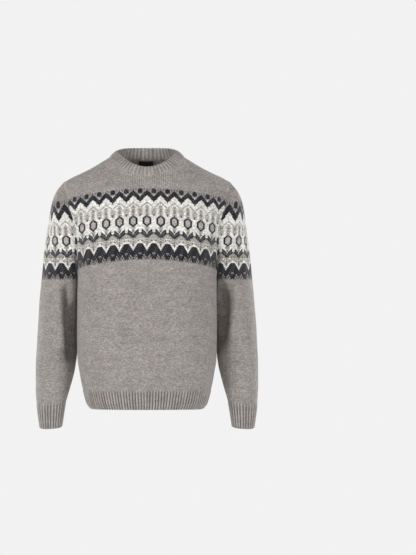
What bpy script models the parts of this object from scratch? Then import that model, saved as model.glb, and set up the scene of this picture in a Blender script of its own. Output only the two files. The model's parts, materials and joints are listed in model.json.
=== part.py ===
"""A knitted fair isle crew-neck sweater, filled out as if worn, with nobody inside.

Metres, +Z up, the front faces -Y and the wearer's left is +X. The origin is the
centre of the neck base, level with the two side-neck points of the shoulders.
Every panel is a hollow cloth wall. A panel's outer points come from the body or
sleeve sections below, and its inner points lie one wall thickness behind them.
Pieces that are sewn together share one seam line, and each stays back from it.
"""

import math
from typing import NamedTuple

import bmesh
import bpy
import numpy as np

WALL = 0.0026
SEAM_HALF_GAP = 0.00026

NECK_HALF_WIDTH = 0.100
NECK_DROP_FRONT = 0.052
NECK_DROP_BACK = 0.008
SHOULDER_HEIGHT = -0.078
UNDERARM_HEIGHT = -0.299
HEM_SEAM_HEIGHT = -0.625
HEM_HEIGHT = -0.677

COLLAR_HALF_WIDTH = 0.083
COLLAR_FRONT_DEPTH = 0.067
COLLAR_BACK_DEPTH = 0.055
COLLAR_FRONT_HEIGHT = -0.028
COLLAR_SIDE_HEIGHT = 0.014
COLLAR_BACK_HEIGHT = 0.023
COLLAR_ROLL = 0.0022

HEM_RIBS = 104
COLLAR_RIBS = 66
CUFF_RIBS = 26
RIB_RAISE = 0.0011

PANEL_COLUMNS = 22
SHOULDER_COLUMNS = 5
SIDE_ROWS = 8
ARMHOLE_ROWS = 12
SLEEVE_RINGS = 15

LABEL_WIDTH = 0.038
LABEL_HEIGHT = 0.024
LABEL_THICKNESS = 0.0007
LABEL_BELOW_SEAM = 0.006
LABEL_CLEARANCE = 0.00035


class Section(NamedTuple):
    """One level cut through the body, about the vertical axis."""

    height: float
    half_width: float
    front: float
    back: float
    power: float


class ArmholePoint(NamedTuple):
    """Where the armhole seam crosses a level."""

    height: float
    half_width: float


class SleeveRing(NamedTuple):
    """A cut across a sleeve, from its inner (body side) point to its outer one."""

    along: float
    inner_x: float
    inner_z: float
    outer_x: float
    outer_z: float
    middle_y: float
    half_depth: float


class Fold(NamedTuple):
    """A soft trough between two points of a surface, in its own two measures."""

    side: int
    across_0: float
    down_0: float
    across_1: float
    down_1: float
    width: float
    depth: float


BODY = (
    Section(0.000, 0.1000, 0.060, 0.060, 2.00),
    Section(-0.011, 0.1175, 0.065, 0.070, 2.00),
    Section(-0.030, 0.1495, 0.070, 0.084, 2.05),
    Section(-0.047, 0.1770, 0.075, 0.094, 2.10),
    Section(-0.058, 0.1960, 0.080, 0.100, 2.10),
    Section(-0.071, 0.2140, 0.087, 0.107, 2.12),
    Section(-0.078, 0.2260, 0.091, 0.110, 2.15),
    Section(-0.110, 0.2265, 0.104, 0.118, 2.20),
    Section(-0.150, 0.2220, 0.116, 0.125, 2.28),
    Section(-0.200, 0.2065, 0.124, 0.128, 2.35),
    Section(-0.245, 0.1980, 0.128, 0.126, 2.40),
    Section(-0.280, 0.1912, 0.129, 0.124, 2.40),
    Section(-0.299, 0.1870, 0.129, 0.124, 2.40),
    Section(-0.380, 0.1875, 0.129, 0.121, 2.40),
    Section(-0.470, 0.1880, 0.128, 0.118, 2.40),
    Section(-0.541, 0.1870, 0.126, 0.117, 2.40),
    Section(-0.577, 0.1815, 0.123, 0.115, 2.40),
    Section(-0.608, 0.1735, 0.116, 0.110, 2.40),
    Section(-0.625, 0.1690, 0.111, 0.106, 2.40),
    Section(-0.650, 0.1625, 0.105, 0.100, 2.40),
    Section(-0.677, 0.1530, 0.098, 0.094, 2.40),
)

ARMHOLE = (
    ArmholePoint(-0.078, 0.2260),
    ArmholePoint(-0.094, 0.2210),
    ArmholePoint(-0.110, 0.2165),
    ArmholePoint(-0.134, 0.2095),
    ArmholePoint(-0.165, 0.1990),
    ArmholePoint(-0.192, 0.1920),
    ArmholePoint(-0.233, 0.1882),
    ArmholePoint(-0.299, 0.1870),
)

SLEEVE = (
    SleeveRing(0.000, 0.1870, -0.299, 0.2260, -0.078, 0.000, 0.064),
    SleeveRing(0.060, 0.1905, -0.309, 0.2440, -0.101, 0.003, 0.070),
    SleeveRing(0.120, 0.1915, -0.320, 0.2580, -0.132, 0.008, 0.072),
    SleeveRing(0.200, 0.1915, -0.337, 0.2675, -0.185, 0.017, 0.071),
    SleeveRing(0.290, 0.1895, -0.362, 0.2755, -0.240, 0.027, 0.067),
    SleeveRing(0.390, 0.1880, -0.397, 0.2835, -0.318, 0.036, 0.063),
    SleeveRing(0.520, 0.1872, -0.452, 0.2915, -0.415, 0.041, 0.061),
    SleeveRing(0.660, 0.1880, -0.520, 0.2975, -0.508, 0.041, 0.058),
    SleeveRing(0.760, 0.1935, -0.566, 0.3000, -0.566, 0.035, 0.055),
    SleeveRing(0.860, 0.2030, -0.605, 0.3000, -0.610, 0.026, 0.050),
    SleeveRing(0.950, 0.2125, -0.638, 0.2985, -0.645, 0.018, 0.043),
    SleeveRing(1.000, 0.2180, -0.656, 0.2968, -0.663, 0.015, 0.038),
    SleeveRing(1.070, 0.2220, -0.680, 0.2942, -0.687, 0.010, 0.035),
    SleeveRing(1.200, 0.2285, -0.724, 0.2885, -0.731, 0.002, 0.031),
)

# side -1 is the front and +1 the back; across is measured from the centre line.
BODY_FOLDS = (
    Fold(-1, -0.180, -0.330, -0.120, -0.470, 0.030, 0.0040),
    Fold(-1, 0.185, -0.335, 0.130, -0.480, 0.030, 0.0040),
    Fold(-1, -0.160, -0.585, -0.020, -0.565, 0.026, 0.0030),
    Fold(-1, 0.170, -0.575, 0.060, -0.590, 0.026, 0.0030),
    Fold(1, -0.175, -0.340, -0.110, -0.500, 0.032, 0.0040),
    Fold(1, 0.175, -0.335, 0.120, -0.480, 0.032, 0.0040),
)

# across is the turn about the sleeve in degrees, 0 at the body, 90 at the front,
# and down is the height; the width is in metres.
SLEEVE_FOLDS = (
    Fold(-1, 48.0, -0.345, 40.0, -0.560, 0.026, 0.0065),
    Fold(-1, 118.0, -0.440, 70.0, -0.475, 0.024, 0.0040),
    Fold(-1, 120.0, -0.560, 60.0, -0.590, 0.022, 0.0040),
    Fold(1, 60.0, -0.360, 50.0, -0.540, 0.028, 0.0050),
    Fold(1, 130.0, -0.470, 80.0, -0.510, 0.024, 0.0040),
)


def smooth_curve(knots, values, at):
    """Values between knots, with slopes that never overshoot."""
    order = np.argsort(knots)
    x = np.asarray(knots, float)[order]
    y = np.asarray(values, float)[order]
    step = np.diff(x)
    rise = np.diff(y) / step
    slope = np.zeros_like(y)
    slope[0] = rise[0]
    slope[-1] = rise[-1]
    for k in range(1, len(x) - 1):
        if rise[k - 1] * rise[k] > 0:
            first = 2 * step[k] + step[k - 1]
            second = step[k] + 2 * step[k - 1]
            slope[k] = (first + second) / (first / rise[k - 1] + second / rise[k])
    at = np.clip(np.asarray(at, float), x[0], x[-1])
    k = np.clip(np.searchsorted(x, at) - 1, 0, len(x) - 2)
    u = (at - x[k]) / step[k]
    a = (1 + 2 * u) * (1 - u) ** 2
    b = u * (1 - u) ** 2
    c = u**2 * (3 - 2 * u)
    d = u**2 * (u - 1)
    return a * y[k] + b * step[k] * slope[k] + c * y[k + 1] + d * step[k] * slope[k + 1]


def column(table, name):
    """One named column of a table."""
    return [getattr(row, name) for row in table]


def unit(vector):
    """Vectors scaled to length one."""
    vector = np.asarray(vector, float)
    return vector / np.linalg.norm(vector, axis=-1, keepdims=True)


def section_at(height, name):
    """A body section's value at any height."""
    return smooth_curve(column(BODY, "height"), column(BODY, name), height)


def trough(across, down, fold, per_across=1.0):
    """How deep a fold is at a point, fading out at both of its ends."""
    start = np.array([fold.across_0 * per_across, fold.down_0])
    run = np.array([fold.across_1 * per_across, fold.down_1]) - start
    x = across * per_across - start[0]
    z = down - start[1]
    part = (x * run[0] + z * run[1]) / (run @ run)
    off = (x * run[1] - z * run[0]) / np.linalg.norm(run)
    fade = np.exp(-((2.0 * part - 1.0) ** 4)) * np.exp(
        -(np.clip(np.abs(part - 0.5) - 0.5, 0, None) ** 2) * 12
    )
    near = off / fold.width
    return fold.depth * (1.0 - 0.55 * near**2) * np.exp(-0.5 * near**2) * fade


class BodySurface:
    """The body's outer surface, by distance from the centre line and height."""

    STEP = 0.0015
    SAMPLES = 96

    def __init__(self, side):
        self.side = side
        self.heights = np.arange(HEM_HEIGHT - 2 * self.STEP, self.STEP / 2, self.STEP)
        depth_name = "front" if side < 0 else "back"
        turn = np.linspace(0.0, 1.0, 400) ** 0.8 * math.pi / 2
        self.length = np.zeros(len(self.heights))
        self.x = np.zeros((len(self.heights), self.SAMPLES))
        self.y = np.zeros_like(self.x)
        share = np.linspace(0.0, 1.0, self.SAMPLES)
        for k, height in enumerate(self.heights):
            power = section_at(height, "power")
            x = section_at(height, "half_width") * np.sin(turn) ** (2 / power)
            y = section_at(height, depth_name) * np.cos(turn).clip(0) ** (2 / power)
            run = np.concatenate([[0], np.cumsum(np.hypot(np.diff(x), np.diff(y)))])
            self.length[k] = run[-1]
            self.x[k] = np.interp(share * run[-1], run, x)
            self.y[k] = np.interp(share * run[-1], run, y)

    def half_length(self, height):
        """Distance round from the centre line to the side, at a height."""
        return np.interp(height, self.heights, self.length)

    def plain(self, across, height):
        """Points without folds."""
        across = np.asarray(across, float)
        height = np.asarray(height, float)
        share = np.clip(np.abs(across) / self.half_length(height), 0, 1)
        row = (height - self.heights[0]) / self.STEP
        row = np.clip(row, 0, len(self.heights) - 1.001)
        col = np.clip(share * (self.SAMPLES - 1), 0, self.SAMPLES - 1.001)
        r = row.astype(int)
        c = col.astype(int)
        u = row - r
        v = col - c
        found = []
        for grid in (self.x, self.y):
            low = grid[r, c] * (1 - v) + grid[r, c + 1] * v
            high = grid[r + 1, c] * (1 - v) + grid[r + 1, c + 1] * v
            found.append(low * (1 - u) + high * u)
        return found[0] * np.sign(across), found[1] * self.side, height

    def points(self, across, height):
        """Points on the surface, folds included."""
        x, y, z = self.plain(across, height)
        half = self.half_length(height)
        deep = np.zeros_like(x)
        for fold in BODY_FOLDS:
            if fold.side == self.side:
                deep = deep + trough(across, height, fold)
        hold = 1 - (np.abs(across) / half) ** 6
        out = np.stack([x * 0.45, y], axis=-1)
        out = out / np.maximum(np.linalg.norm(out, axis=-1, keepdims=True), 1e-6)
        return np.stack(
            [x - out[..., 0] * deep * hold, y - out[..., 1] * deep * hold, z], axis=-1
        )

    def across_of(self, x, height):
        """Distance from the centre line of the point with this x at this height."""
        found = []
        for one, level in zip(np.ravel(x), np.ravel(height)):
            share = np.linspace(0.0, 1.0, 400)
            length = float(self.half_length(level))
            line = self.plain(share * length, np.full(400, level))[0]
            line[-1] = max(line[-1], abs(one))
            found.append(np.interp(abs(one), line, share * length) * np.sign(one))
        return np.array(found)


class SleeveSurface:
    """A sleeve's outer surface, by share of its length and turn about it.

    It is worked out at +X and mirrored. Turn 0 is next to the body, a quarter is
    the front, a half the outer edge and three quarters the back.
    """

    FADE = 0.16

    def __init__(self, mirror, front, back):
        self.mirror = mirror
        self.front = front
        self.back = back

    def ring(self, along, turn):
        """Points of the plain rings."""
        value = {
            name: smooth_curve(column(SLEEVE, "along"), column(SLEEVE, name), along)
            for name in SleeveRing._fields[1:]
        }
        swing = (1 - np.cos(turn)) / 2
        square = np.sin(turn) * (1 + 0.10 * np.cos(turn) ** 2)
        x = value["inner_x"] * (1 - swing) + value["outer_x"] * swing
        z = value["inner_z"] * (1 - swing) + value["outer_z"] * swing
        y = value["middle_y"] * (1 - np.cos(2 * turn) * 0) - value["half_depth"] * square
        return np.stack([x, y, z], axis=-1)

    def armhole(self, turn):
        """Points of the armhole seam."""
        turn = np.asarray(turn, float)
        height = armhole_height((1 - np.cos(turn)) / 2)
        x = armhole_width(height)
        front = self.front.points(armhole_across(self.front, height), height)
        back = self.back.points(armhole_across(self.back, height), height)
        y = np.where(np.sin(turn) >= 0, front[..., 1], back[..., 1])
        return np.stack([x, y, height], axis=-1)

    def points(self, along, turn):
        """Points on the surface, folds included."""
        along, turn = np.broadcast_arrays(
            np.asarray(along, float), np.asarray(turn, float)
        )
        found = self.ring(along, turn)
        gone = np.clip(along / self.FADE, 0, 1)
        keep = 1 - gone**2 * (3 - 2 * gone)
        start = self.armhole(turn) - self.ring(np.zeros_like(turn), turn)
        found = found + start * keep[..., None]
        middle = (self.ring(along, np.zeros_like(turn)) + self.ring(
            along, np.full_like(turn, math.pi)
        )) / 2
        out = unit(found - middle)
        angle = np.degrees(np.mod(turn, 2 * math.pi))
        deep = np.zeros_like(turn)
        for fold in SLEEVE_FOLDS:
            place = angle if fold.side < 0 else 360 - angle
            deep = deep + trough(place, found[..., 2], fold, 0.00105)
        hold = np.clip(along / 0.2, 0, 1) * np.clip((1.02 - along) / 0.12, 0, 1)
        found = found - out * (deep * hold)[..., None]
        return found * np.array([self.mirror, 1, 1])


def armhole_height(share):
    """Height at a share of the armhole, 0 at the underarm and 1 at the shoulder."""
    return UNDERARM_HEIGHT + (SHOULDER_HEIGHT - UNDERARM_HEIGHT) * share


def armhole_width(height):
    """Distance of the armhole seam from the middle plane."""
    return smooth_curve(column(ARMHOLE, "height"), column(ARMHOLE, "half_width"), height)


def armhole_across(surface, height):
    """The armhole seam's distance round from the centre line."""
    flat = np.ravel(height)
    return surface.across_of(armhole_width(flat), flat).reshape(np.shape(height))


def neck_height(x, side):
    """Height of the neckline seam at this distance from the middle plane."""
    drop = NECK_DROP_FRONT if side < 0 else NECK_DROP_BACK
    return -drop * (1 - (x / NECK_HALF_WIDTH) ** 2)


def collar_edge(turn):
    """The collar's top edge, turn 0 at the centre front."""
    depth = np.where(np.cos(turn) > 0, COLLAR_FRONT_DEPTH, COLLAR_BACK_DEPTH)
    rise = np.where(
        np.cos(turn) > 0,
        COLLAR_FRONT_HEIGHT
        + (COLLAR_SIDE_HEIGHT - COLLAR_FRONT_HEIGHT) * np.sin(turn) ** 2,
        COLLAR_SIDE_HEIGHT
        + (COLLAR_BACK_HEIGHT - COLLAR_SIDE_HEIGHT) * (1 - np.sin(turn) ** 4),
    )
    x = COLLAR_HALF_WIDTH * np.sin(turn)
    return np.stack([x, -depth * np.cos(turn), rise], axis=-1)


def armhole_shares():
    """Shares of the armhole at the panel rows, closer at the underarm and shoulder."""
    even = np.linspace(0, 1, ARMHOLE_ROWS + 1)
    return 0.3 * even + 0.7 * (1 - np.cos(even * math.pi)) / 2


def panel_points(surface):
    """Rows by columns of a body panel's outer points, hem seam to top edge."""
    side = surface.side
    share = np.linspace(-1, 1, PANEL_COLUMNS + 1)
    rows = []
    for height in np.linspace(HEM_SEAM_HEIGHT, UNDERARM_HEIGHT, SIDE_ROWS + 1)[:-1]:
        rows.append((share * surface.half_length(height), np.full_like(share, height)))
    inner = PANEL_COLUMNS - 2 * SHOULDER_COLUMNS
    turn = np.linspace(-math.pi / 2, math.pi / 2, inner + 1)
    neck_x = NECK_HALF_WIDTH * np.sin(turn)
    neck_z = neck_height(neck_x, side)
    neck_q = surface.across_of(neck_x, neck_z)
    levels = np.linspace(SHOULDER_HEIGHT, 0, 200)
    reach = section_at(levels, "half_width")
    run = np.concatenate([[0], np.cumsum(np.hypot(np.diff(levels), np.diff(reach)))])
    even = np.linspace(0, run[-1], SHOULDER_COLUMNS + 1)[:-1]
    seam_z = np.interp(even, run, levels)
    seam_q = surface.half_length(seam_z)
    top_q = np.concatenate([-seam_q, neck_q, seam_q[::-1]])
    top_z = np.concatenate([seam_z, neck_z, seam_z[::-1]])
    low_q = share * surface.half_length(UNDERARM_HEIGHT)
    low_z = np.full_like(share, UNDERARM_HEIGHT)
    part = (share + 1) / 2
    for t in armhole_shares():
        height = armhole_height(t)
        edge = float(armhole_across(surface, np.array([height]))[0])
        edge_q = edge * share
        # The four edges blended, less the straight blend of the corners.
        corner_q = low_q[-1] * share * (1 - t) + top_q[-1] * share * t
        q = low_q * (1 - t) + top_q * t + edge_q - corner_q
        z = low_z * (1 - t) + top_z * t
        corner = (top_z[0] * (1 - part) + top_z[-1] * part) * t + low_z * (1 - t)
        z = z + height - corner
        rows.append((q, z))
    across = np.array([row[0] for row in rows])
    height = np.array([row[1] for row in rows])
    return surface.points(across, height)


def sleeve_points(sleeve):
    """Rings by points of a sleeve, the first on the armhole rows."""
    share = armhole_shares()
    turn = np.arccos(1 - 2 * share)
    turn = np.concatenate([turn, 2 * math.pi - turn[-2:0:-1]])
    along = np.linspace(0, 1, SLEEVE_RINGS + 1) ** 1.15
    even = np.linspace(0, 2 * math.pi, len(turn) + 1)[:-1]
    rows = []
    for t in along:
        ease = min(t / 0.3, 1.0)
        rows.append(sleeve.points(t, turn * (1 - ease) + even * ease))
    return np.array(rows), even


def loop_tangents(line, closed):
    """Unit edge directions before and after each point of a line."""
    after = np.roll(line, -1, axis=0) - line
    before = line - np.roll(line, 1, axis=0)
    if not closed:
        after[-1] = before[-1]
        before[0] = after[0]
    return unit(before), unit(after)


def seam_normals(line, into_a, into_b, closed):
    """Outward directions shared by two pieces along a seam.

    into_a and into_b are each piece's next points in from the seam. The line runs
    so that piece b lies on its left as seen from outside.
    """
    before, after = loop_tangents(line, closed)
    along = unit(before + after)
    to_a = into_a - line
    to_b = into_b - line
    to_a = unit(to_a - np.sum(to_a * along, axis=1, keepdims=True) * along)
    to_b = unit(to_b - np.sum(to_b * along, axis=1, keepdims=True) * along)
    return unit(np.cross(along, to_b - to_a))


def inset_loop(line, normals, closed, sign):
    """The line moved into one piece by half the seam gap, mitred at corners."""
    before, after = loop_tangents(line, closed)
    first = unit(np.cross(normals, before)) * sign
    second = unit(np.cross(normals, after)) * sign
    fit = 1 + np.sum(first * second, axis=1, keepdims=True)
    return line + SEAM_HALF_GAP * (first + second) / fit


def grid_normals(points, wrap):
    """Directions across a grid of points, columns turning left from outside."""
    if wrap:
        across = np.roll(points, -1, axis=1) - np.roll(points, 1, axis=1)
    else:
        across = np.gradient(points, axis=1)
    up = np.gradient(points, axis=0)
    return unit(np.cross(across, up))


def wall_mesh(name, outer, inner, wrap, colour):
    """A closed wall between two grids of points, as one object."""
    rows, cols = outer.shape[:2]
    bm = bmesh.new()
    place = bm.verts.layers.int.new("place")
    segments = cols if wrap else cols - 1
    bmesh.ops.create_grid(bm, x_segments=segments, y_segments=rows - 1, size=1)
    for vert in bm.verts:
        i = round((vert.co.x + 1) / 2 * segments) % cols
        j = round((vert.co.y + 1) / 2 * (rows - 1))
        vert[place] = j * cols + i
        vert.co = outer[j, i]
    if wrap:
        bmesh.ops.remove_doubles(bm, verts=bm.verts, dist=1e-7)
    made = bmesh.ops.extrude_face_region(bm, geom=bm.faces[:], use_keep_orig=True)
    for item in made["geom"]:
        if isinstance(item, bmesh.types.BMVert):
            j, i = divmod(item[place], cols)
            item.co = inner[j, i]
    bmesh.ops.recalc_face_normals(bm, faces=bm.faces)
    # Two rims that face each other across a seam then split along the same way.
    bmesh.ops.triangulate(bm, faces=bm.faces[:], quad_method="SHORT_EDGE")
    mesh = bpy.data.meshes.new(name)
    bm.to_mesh(mesh)
    bm.free()
    mesh.shade_smooth()
    mesh.set_sharp_from_angle(angle=math.radians(50))
    obj = bpy.data.objects.new(name, mesh)
    obj.data.materials.append(knit_material(name, colour))
    bpy.context.scene.collection.objects.link(obj)
    return obj


def knit_material(name, colour):
    """A matt yarn or woven finish."""
    material = bpy.data.materials.new(name)
    material.use_nodes = True
    shader = material.node_tree.nodes["Principled BSDF"]
    shader.inputs["Base Color"].default_value = (*colour, 1)
    shader.inputs["Roughness"].default_value = 0.92
    shader.inputs["Metallic"].default_value = 0.0
    return material


def along_loop(line, count):
    """For even steps round a closed line: the point before each, and the share on."""
    edge = np.linalg.norm(np.roll(line, -1, axis=0) - line, axis=1)
    run = np.concatenate([[0], np.cumsum(edge)])
    want = np.arange(count) / count * run[-1]
    k = np.clip(np.searchsorted(run, want, side="right") - 1, 0, len(line) - 1)
    return k, (want - run[k]) / edge[k]


def on_loop(line, k, share):
    """Points of a closed line at the places that along_loop found."""
    return line[k] + (np.roll(line, -1, axis=0)[k] - line[k]) * share[:, None]


def main():
    for obj in list(bpy.data.objects):
        bpy.data.objects.remove(obj, do_unlink=True)

    grey = (0.345, 0.318, 0.290)
    rib_grey = (0.355, 0.328, 0.300)
    black = (0.012, 0.012, 0.013)

    front_surface = BodySurface(-1)
    back_surface = BodySurface(1)
    front = panel_points(front_surface)
    back = panel_points(back_surface)
    low = SIDE_ROWS
    first = SHOULDER_COLUMNS
    last = PANEL_COLUMNS - SHOULDER_COLUMNS

    # Seam lines take one set of points, so that both sides of a seam agree.
    side_rows = range(0, low + 1)
    for i in (0, PANEL_COLUMNS):
        for j in side_rows:
            back[j, i] = front[j, i]
        for k in range(0, first + 1):
            column_at = k if i == 0 else PANEL_COLUMNS - k
            back[-1, column_at] = front[-1, column_at]

    sleeves = {}
    for name, mirror in (("left", 1), ("right", -1)):
        rings, even = sleeve_points(SleeveSurface(mirror, front_surface, back_surface))
        edge = PANEL_COLUMNS if mirror > 0 else 0
        seam = [front[low + m, edge] for m in range(ARMHOLE_ROWS + 1)]
        seam += [back[low + m, edge] for m in range(ARMHOLE_ROWS - 1, 0, -1)]
        rings[0] = np.array(seam)
        sleeves[name] = rings

    # Each piece's shared directions along its seams, and the sum at corners.
    body_normals = {"front": grid_normals(front, False), "back": -grid_normals(back, False)}
    seam_sum = {"front": np.zeros_like(front), "back": np.zeros_like(back)}
    panels = {"front": front, "back": back}

    def share_out(places, normals):
        for (piece, j, i), normal in zip(places, normals):
            seam_sum[piece][j, i] += normal

    def same_vertex_pairs(j, i):
        return [("front", j, i), ("back", j, i)]

    # Side seams, from the hem up: at +X the back panel is on the left from outside.
    for i, step, sign in ((PANEL_COLUMNS, -1, -1), (0, 1, 1)):
        line = front[: low + 1, i]
        normals = seam_normals(line, front[: low + 1, i + step], back[: low + 1, i + step], False)
        normals = normals * -sign * -1
        normals *= np.sign(np.sum(normals[:, 0] * line[:, 0]))
        for j in side_rows:
            for piece, jj, ii in same_vertex_pairs(j, i):
                seam_sum[piece][jj, ii] += normals[j]
    # Shoulder seams, from the neck outwards.
    for order in (range(first, -1, -1), range(last, PANEL_COLUMNS + 1)):
        order = list(order)
        line = front[-1, order]
        normals = seam_normals(line, front[-2, order], back[-2, order], False)
        normals *= np.sign(np.sum(normals[:, 2]))
        for k, i in enumerate(order):
            for piece, jj, ii in same_vertex_pairs(-1, i):
                seam_sum[piece][jj, ii] += normals[k]

    # Armholes, once round from the underarm by way of the front.
    ring_sum = {}
    for name, edge, step in (("left", PANEL_COLUMNS, -1), ("right", 0, 1)):
        rings = sleeves[name]
        places = [("front", low + m, edge) for m in range(ARMHOLE_ROWS + 1)]
        places += [("back", low + m, edge) for m in range(ARMHOLE_ROWS - 1, 0, -1)]
        inner = np.array([panels[p][j, i + step] for p, j, i in places])
        # The underarm and shoulder points have the seams themselves as the way in.
        inner[0] = front[low - 1, edge]
        inner[ARMHOLE_ROWS] = front[-1, edge + step]
        normals = seam_normals(rings[0], inner, rings[1], True)
        middle = rings[0].mean(axis=0)
        normals *= np.sign(np.sum(normals * (rings[0] - middle)))
        ring_sum[name] = normals
        share_out(places, normals)
        for at, row in ((0, low), (ARMHOLE_ROWS, low + ARMHOLE_ROWS)):
            seam_sum["front"][row, edge] += 2 * normals[at]
            seam_sum["back"][row, edge] += 3 * normals[at]

    # The neckline, once round from the centre front by way of the wearer's left.
    neck_columns = list(range(first, last + 1))
    middle_column = PANEL_COLUMNS // 2
    front_part = [("front", -1, i) for i in range(middle_column, last + 1)]
    back_part = [("back", -1, i) for i in range(last - 1, first, -1)]
    rest = [("front", -1, i) for i in range(first, middle_column)]
    neck_places = front_part + back_part + rest
    neck_line = np.array([panels[p][j, i] for p, j, i in neck_places])
    neck_in = np.array([panels[p][j - 1, i] for p, j, i in neck_places])
    for at, (piece, j, i) in enumerate(neck_places):
        if i in (first, last):
            outwards = i + 1 if i == last else i - 1
            neck_in[at] = front[-1, outwards]
    guess = np.arctan2(neck_line[:, 0] / NECK_HALF_WIDTH, -neck_line[:, 1] / 0.07)
    neck_top = collar_edge(guess)
    neck_normals = seam_normals(neck_line, neck_in, neck_top, True)
    away = neck_line * np.array([1, 1, 0]) + np.array([0, 0, 0.05])
    neck_normals *= np.sign(np.sum(neck_normals * away))
    share_out(neck_places, neck_normals)
    for i in (first, last):
        seam_sum["back"][-1, i] += neck_normals[
            [at for at, place in enumerate(neck_places) if place[2] == i][0]
        ]

    # The hem seam, once round from the wearer's right along the front.
    hem_places = [("front", 0, i) for i in range(PANEL_COLUMNS + 1)]
    hem_places += [("back", 0, i) for i in range(PANEL_COLUMNS - 1, 0, -1)]
    hem_line = np.array([panels[p][j, i] for p, j, i in hem_places])
    hem_up = np.array([panels[p][1, i] for p, j, i in hem_places])
    hem_down = []
    for piece, _, i in hem_places:
        surface = front_surface if piece == "front" else back_surface
        share = 2 * i / PANEL_COLUMNS - 1
        level = HEM_SEAM_HEIGHT - 0.03
        hem_down.append(surface.points(share * surface.half_length(level), level))
    hem_normals = seam_normals(hem_line, hem_up, np.array(hem_down), True)
    hem_normals *= np.sign(np.sum(hem_normals[:, :2] * hem_line[:, :2]))
    share_out(hem_places, hem_normals)
    for i in (0, PANEL_COLUMNS):
        at = 0 if i == 0 else PANEL_COLUMNS
        seam_sum["back"][0, i] += hem_normals[at]

    # The two panels see the same direction at each shared corner.
    for piece, grid in panels.items():
        shared = np.linalg.norm(seam_sum[piece], axis=2) > 1e-9
        body_normals[piece][shared] = unit(seam_sum[piece][shared])

    inner_panels = {}
    for piece, grid in panels.items():
        normals = body_normals[piece]
        edge_order = [(0, i) for i in range(PANEL_COLUMNS)]
        top_row = grid.shape[0] - 1
        edge_order += [(j, PANEL_COLUMNS) for j in range(top_row)]
        edge_order += [(top_row, i) for i in range(PANEL_COLUMNS, 0, -1)]
        edge_order += [(j, 0) for j in range(top_row, 0, -1)]
        rows_at = [j for j, _ in edge_order]
        cols_at = [i for _, i in edge_order]
        line = grid[rows_at, cols_at]
        sign = 1 if piece == "front" else -1
        moved = inset_loop(line, normals[rows_at, cols_at], True, sign)
        outer = grid.copy()
        outer[rows_at, cols_at] = moved
        inner_panels[piece] = outer - normals * WALL
        wall_mesh(piece + "_body", outer, inner_panels[piece], False, grey)

    # Sleeves and cuffs.
    for name, edge in (("left", PANEL_COLUMNS), ("right", 0)):
        rings = sleeves[name]
        mirror = 1 if name == "left" else -1
        surface = SleeveSurface(mirror, front_surface, back_surface)
        normals = grid_normals(rings, True)
        centre = rings.mean(axis=1, keepdims=True)
        normals = normals * np.sign(np.sum(normals * (rings - centre)))
        shared = unit(ring_sum[name])
        shared[0] = body_normals["front"][low, edge]
        shared[ARMHOLE_ROWS] = body_normals["front"][-1, edge]
        normals[0] = shared
        below = surface.points(1.06, even)
        cuff_normals = seam_normals(rings[-1], rings[-2], below, True)
        cuff_normals *= np.sign(np.sum(cuff_normals * (rings[-1] - centre[-1])))
        normals[-1] = cuff_normals
        outer = rings.copy()
        toward = np.sign(np.sum(np.cross(normals[0], loop_tangents(rings[0], True)[1])
                                * (rings[1] - rings[0])))
        outer[0] = inset_loop(rings[0], normals[0], True, toward)
        toward = np.sign(np.sum(np.cross(normals[-1], loop_tangents(rings[-1], True)[1])
                                * (rings[-2] - rings[-1])))
        outer[-1] = inset_loop(rings[-1], normals[-1], True, toward)
        wall_mesh("sleeve_" + name, outer, outer - normals * WALL, True, grey)

        count = 2 * CUFF_RIBS
        k, share = along_loop(rings[-1], count)
        start = inset_loop(rings[-1], cuff_normals, True, -toward)
        lined = on_loop(start, k, share)
        turns = np.append(even, 2 * math.pi)
        turn = turns[k] + (turns[k + 1] - turns[k]) * share
        rows = [lined]
        across = [unit(on_loop(cuff_normals, k, share))]
        for t in (1.10, 1.20):
            ring = surface.points(t, turn)
            rows.append(ring)
            across.append(unit(ring - ring.mean(axis=0)))
        build_rib("cuff_" + name, rows, across, rib_grey)

    # The hem rib.
    count = 2 * HEM_RIBS
    k, share = along_loop(hem_line, count)
    start = inset_loop(hem_line, hem_normals, True, 1)
    if np.mean(start[:, 2] - hem_line[:, 2]) > 0:
        start = inset_loop(hem_line, hem_normals, True, -1)
    shared = hem_normals.copy()
    shared[0] = body_normals["front"][0, 0]
    shared[PANEL_COLUMNS] = body_normals["front"][0, PANEL_COLUMNS]
    place = (k + share) / PANEL_COLUMNS
    rows = [on_loop(start, k, share)]
    across = [unit(on_loop(shared, k, share))]
    for height in ((HEM_SEAM_HEIGHT + HEM_HEIGHT) / 2, HEM_HEIGHT):
        ahead = front_surface.half_length(height) * (2 * place - 1)
        behind = back_surface.half_length(height) * (3 - 2 * place)
        ring = np.where(
            (place <= 1)[:, None],
            front_surface.points(ahead, np.full(count, height)),
            back_surface.points(behind, np.full(count, height)),
        )
        rows.append(ring)
        slope = np.roll(ring, -1, axis=0) - np.roll(ring, 1, axis=0)
        across.append(unit(np.cross(slope, np.array([0, 0, 1.0]))))
    build_rib("hem_rib", rows, across, rib_grey)

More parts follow.
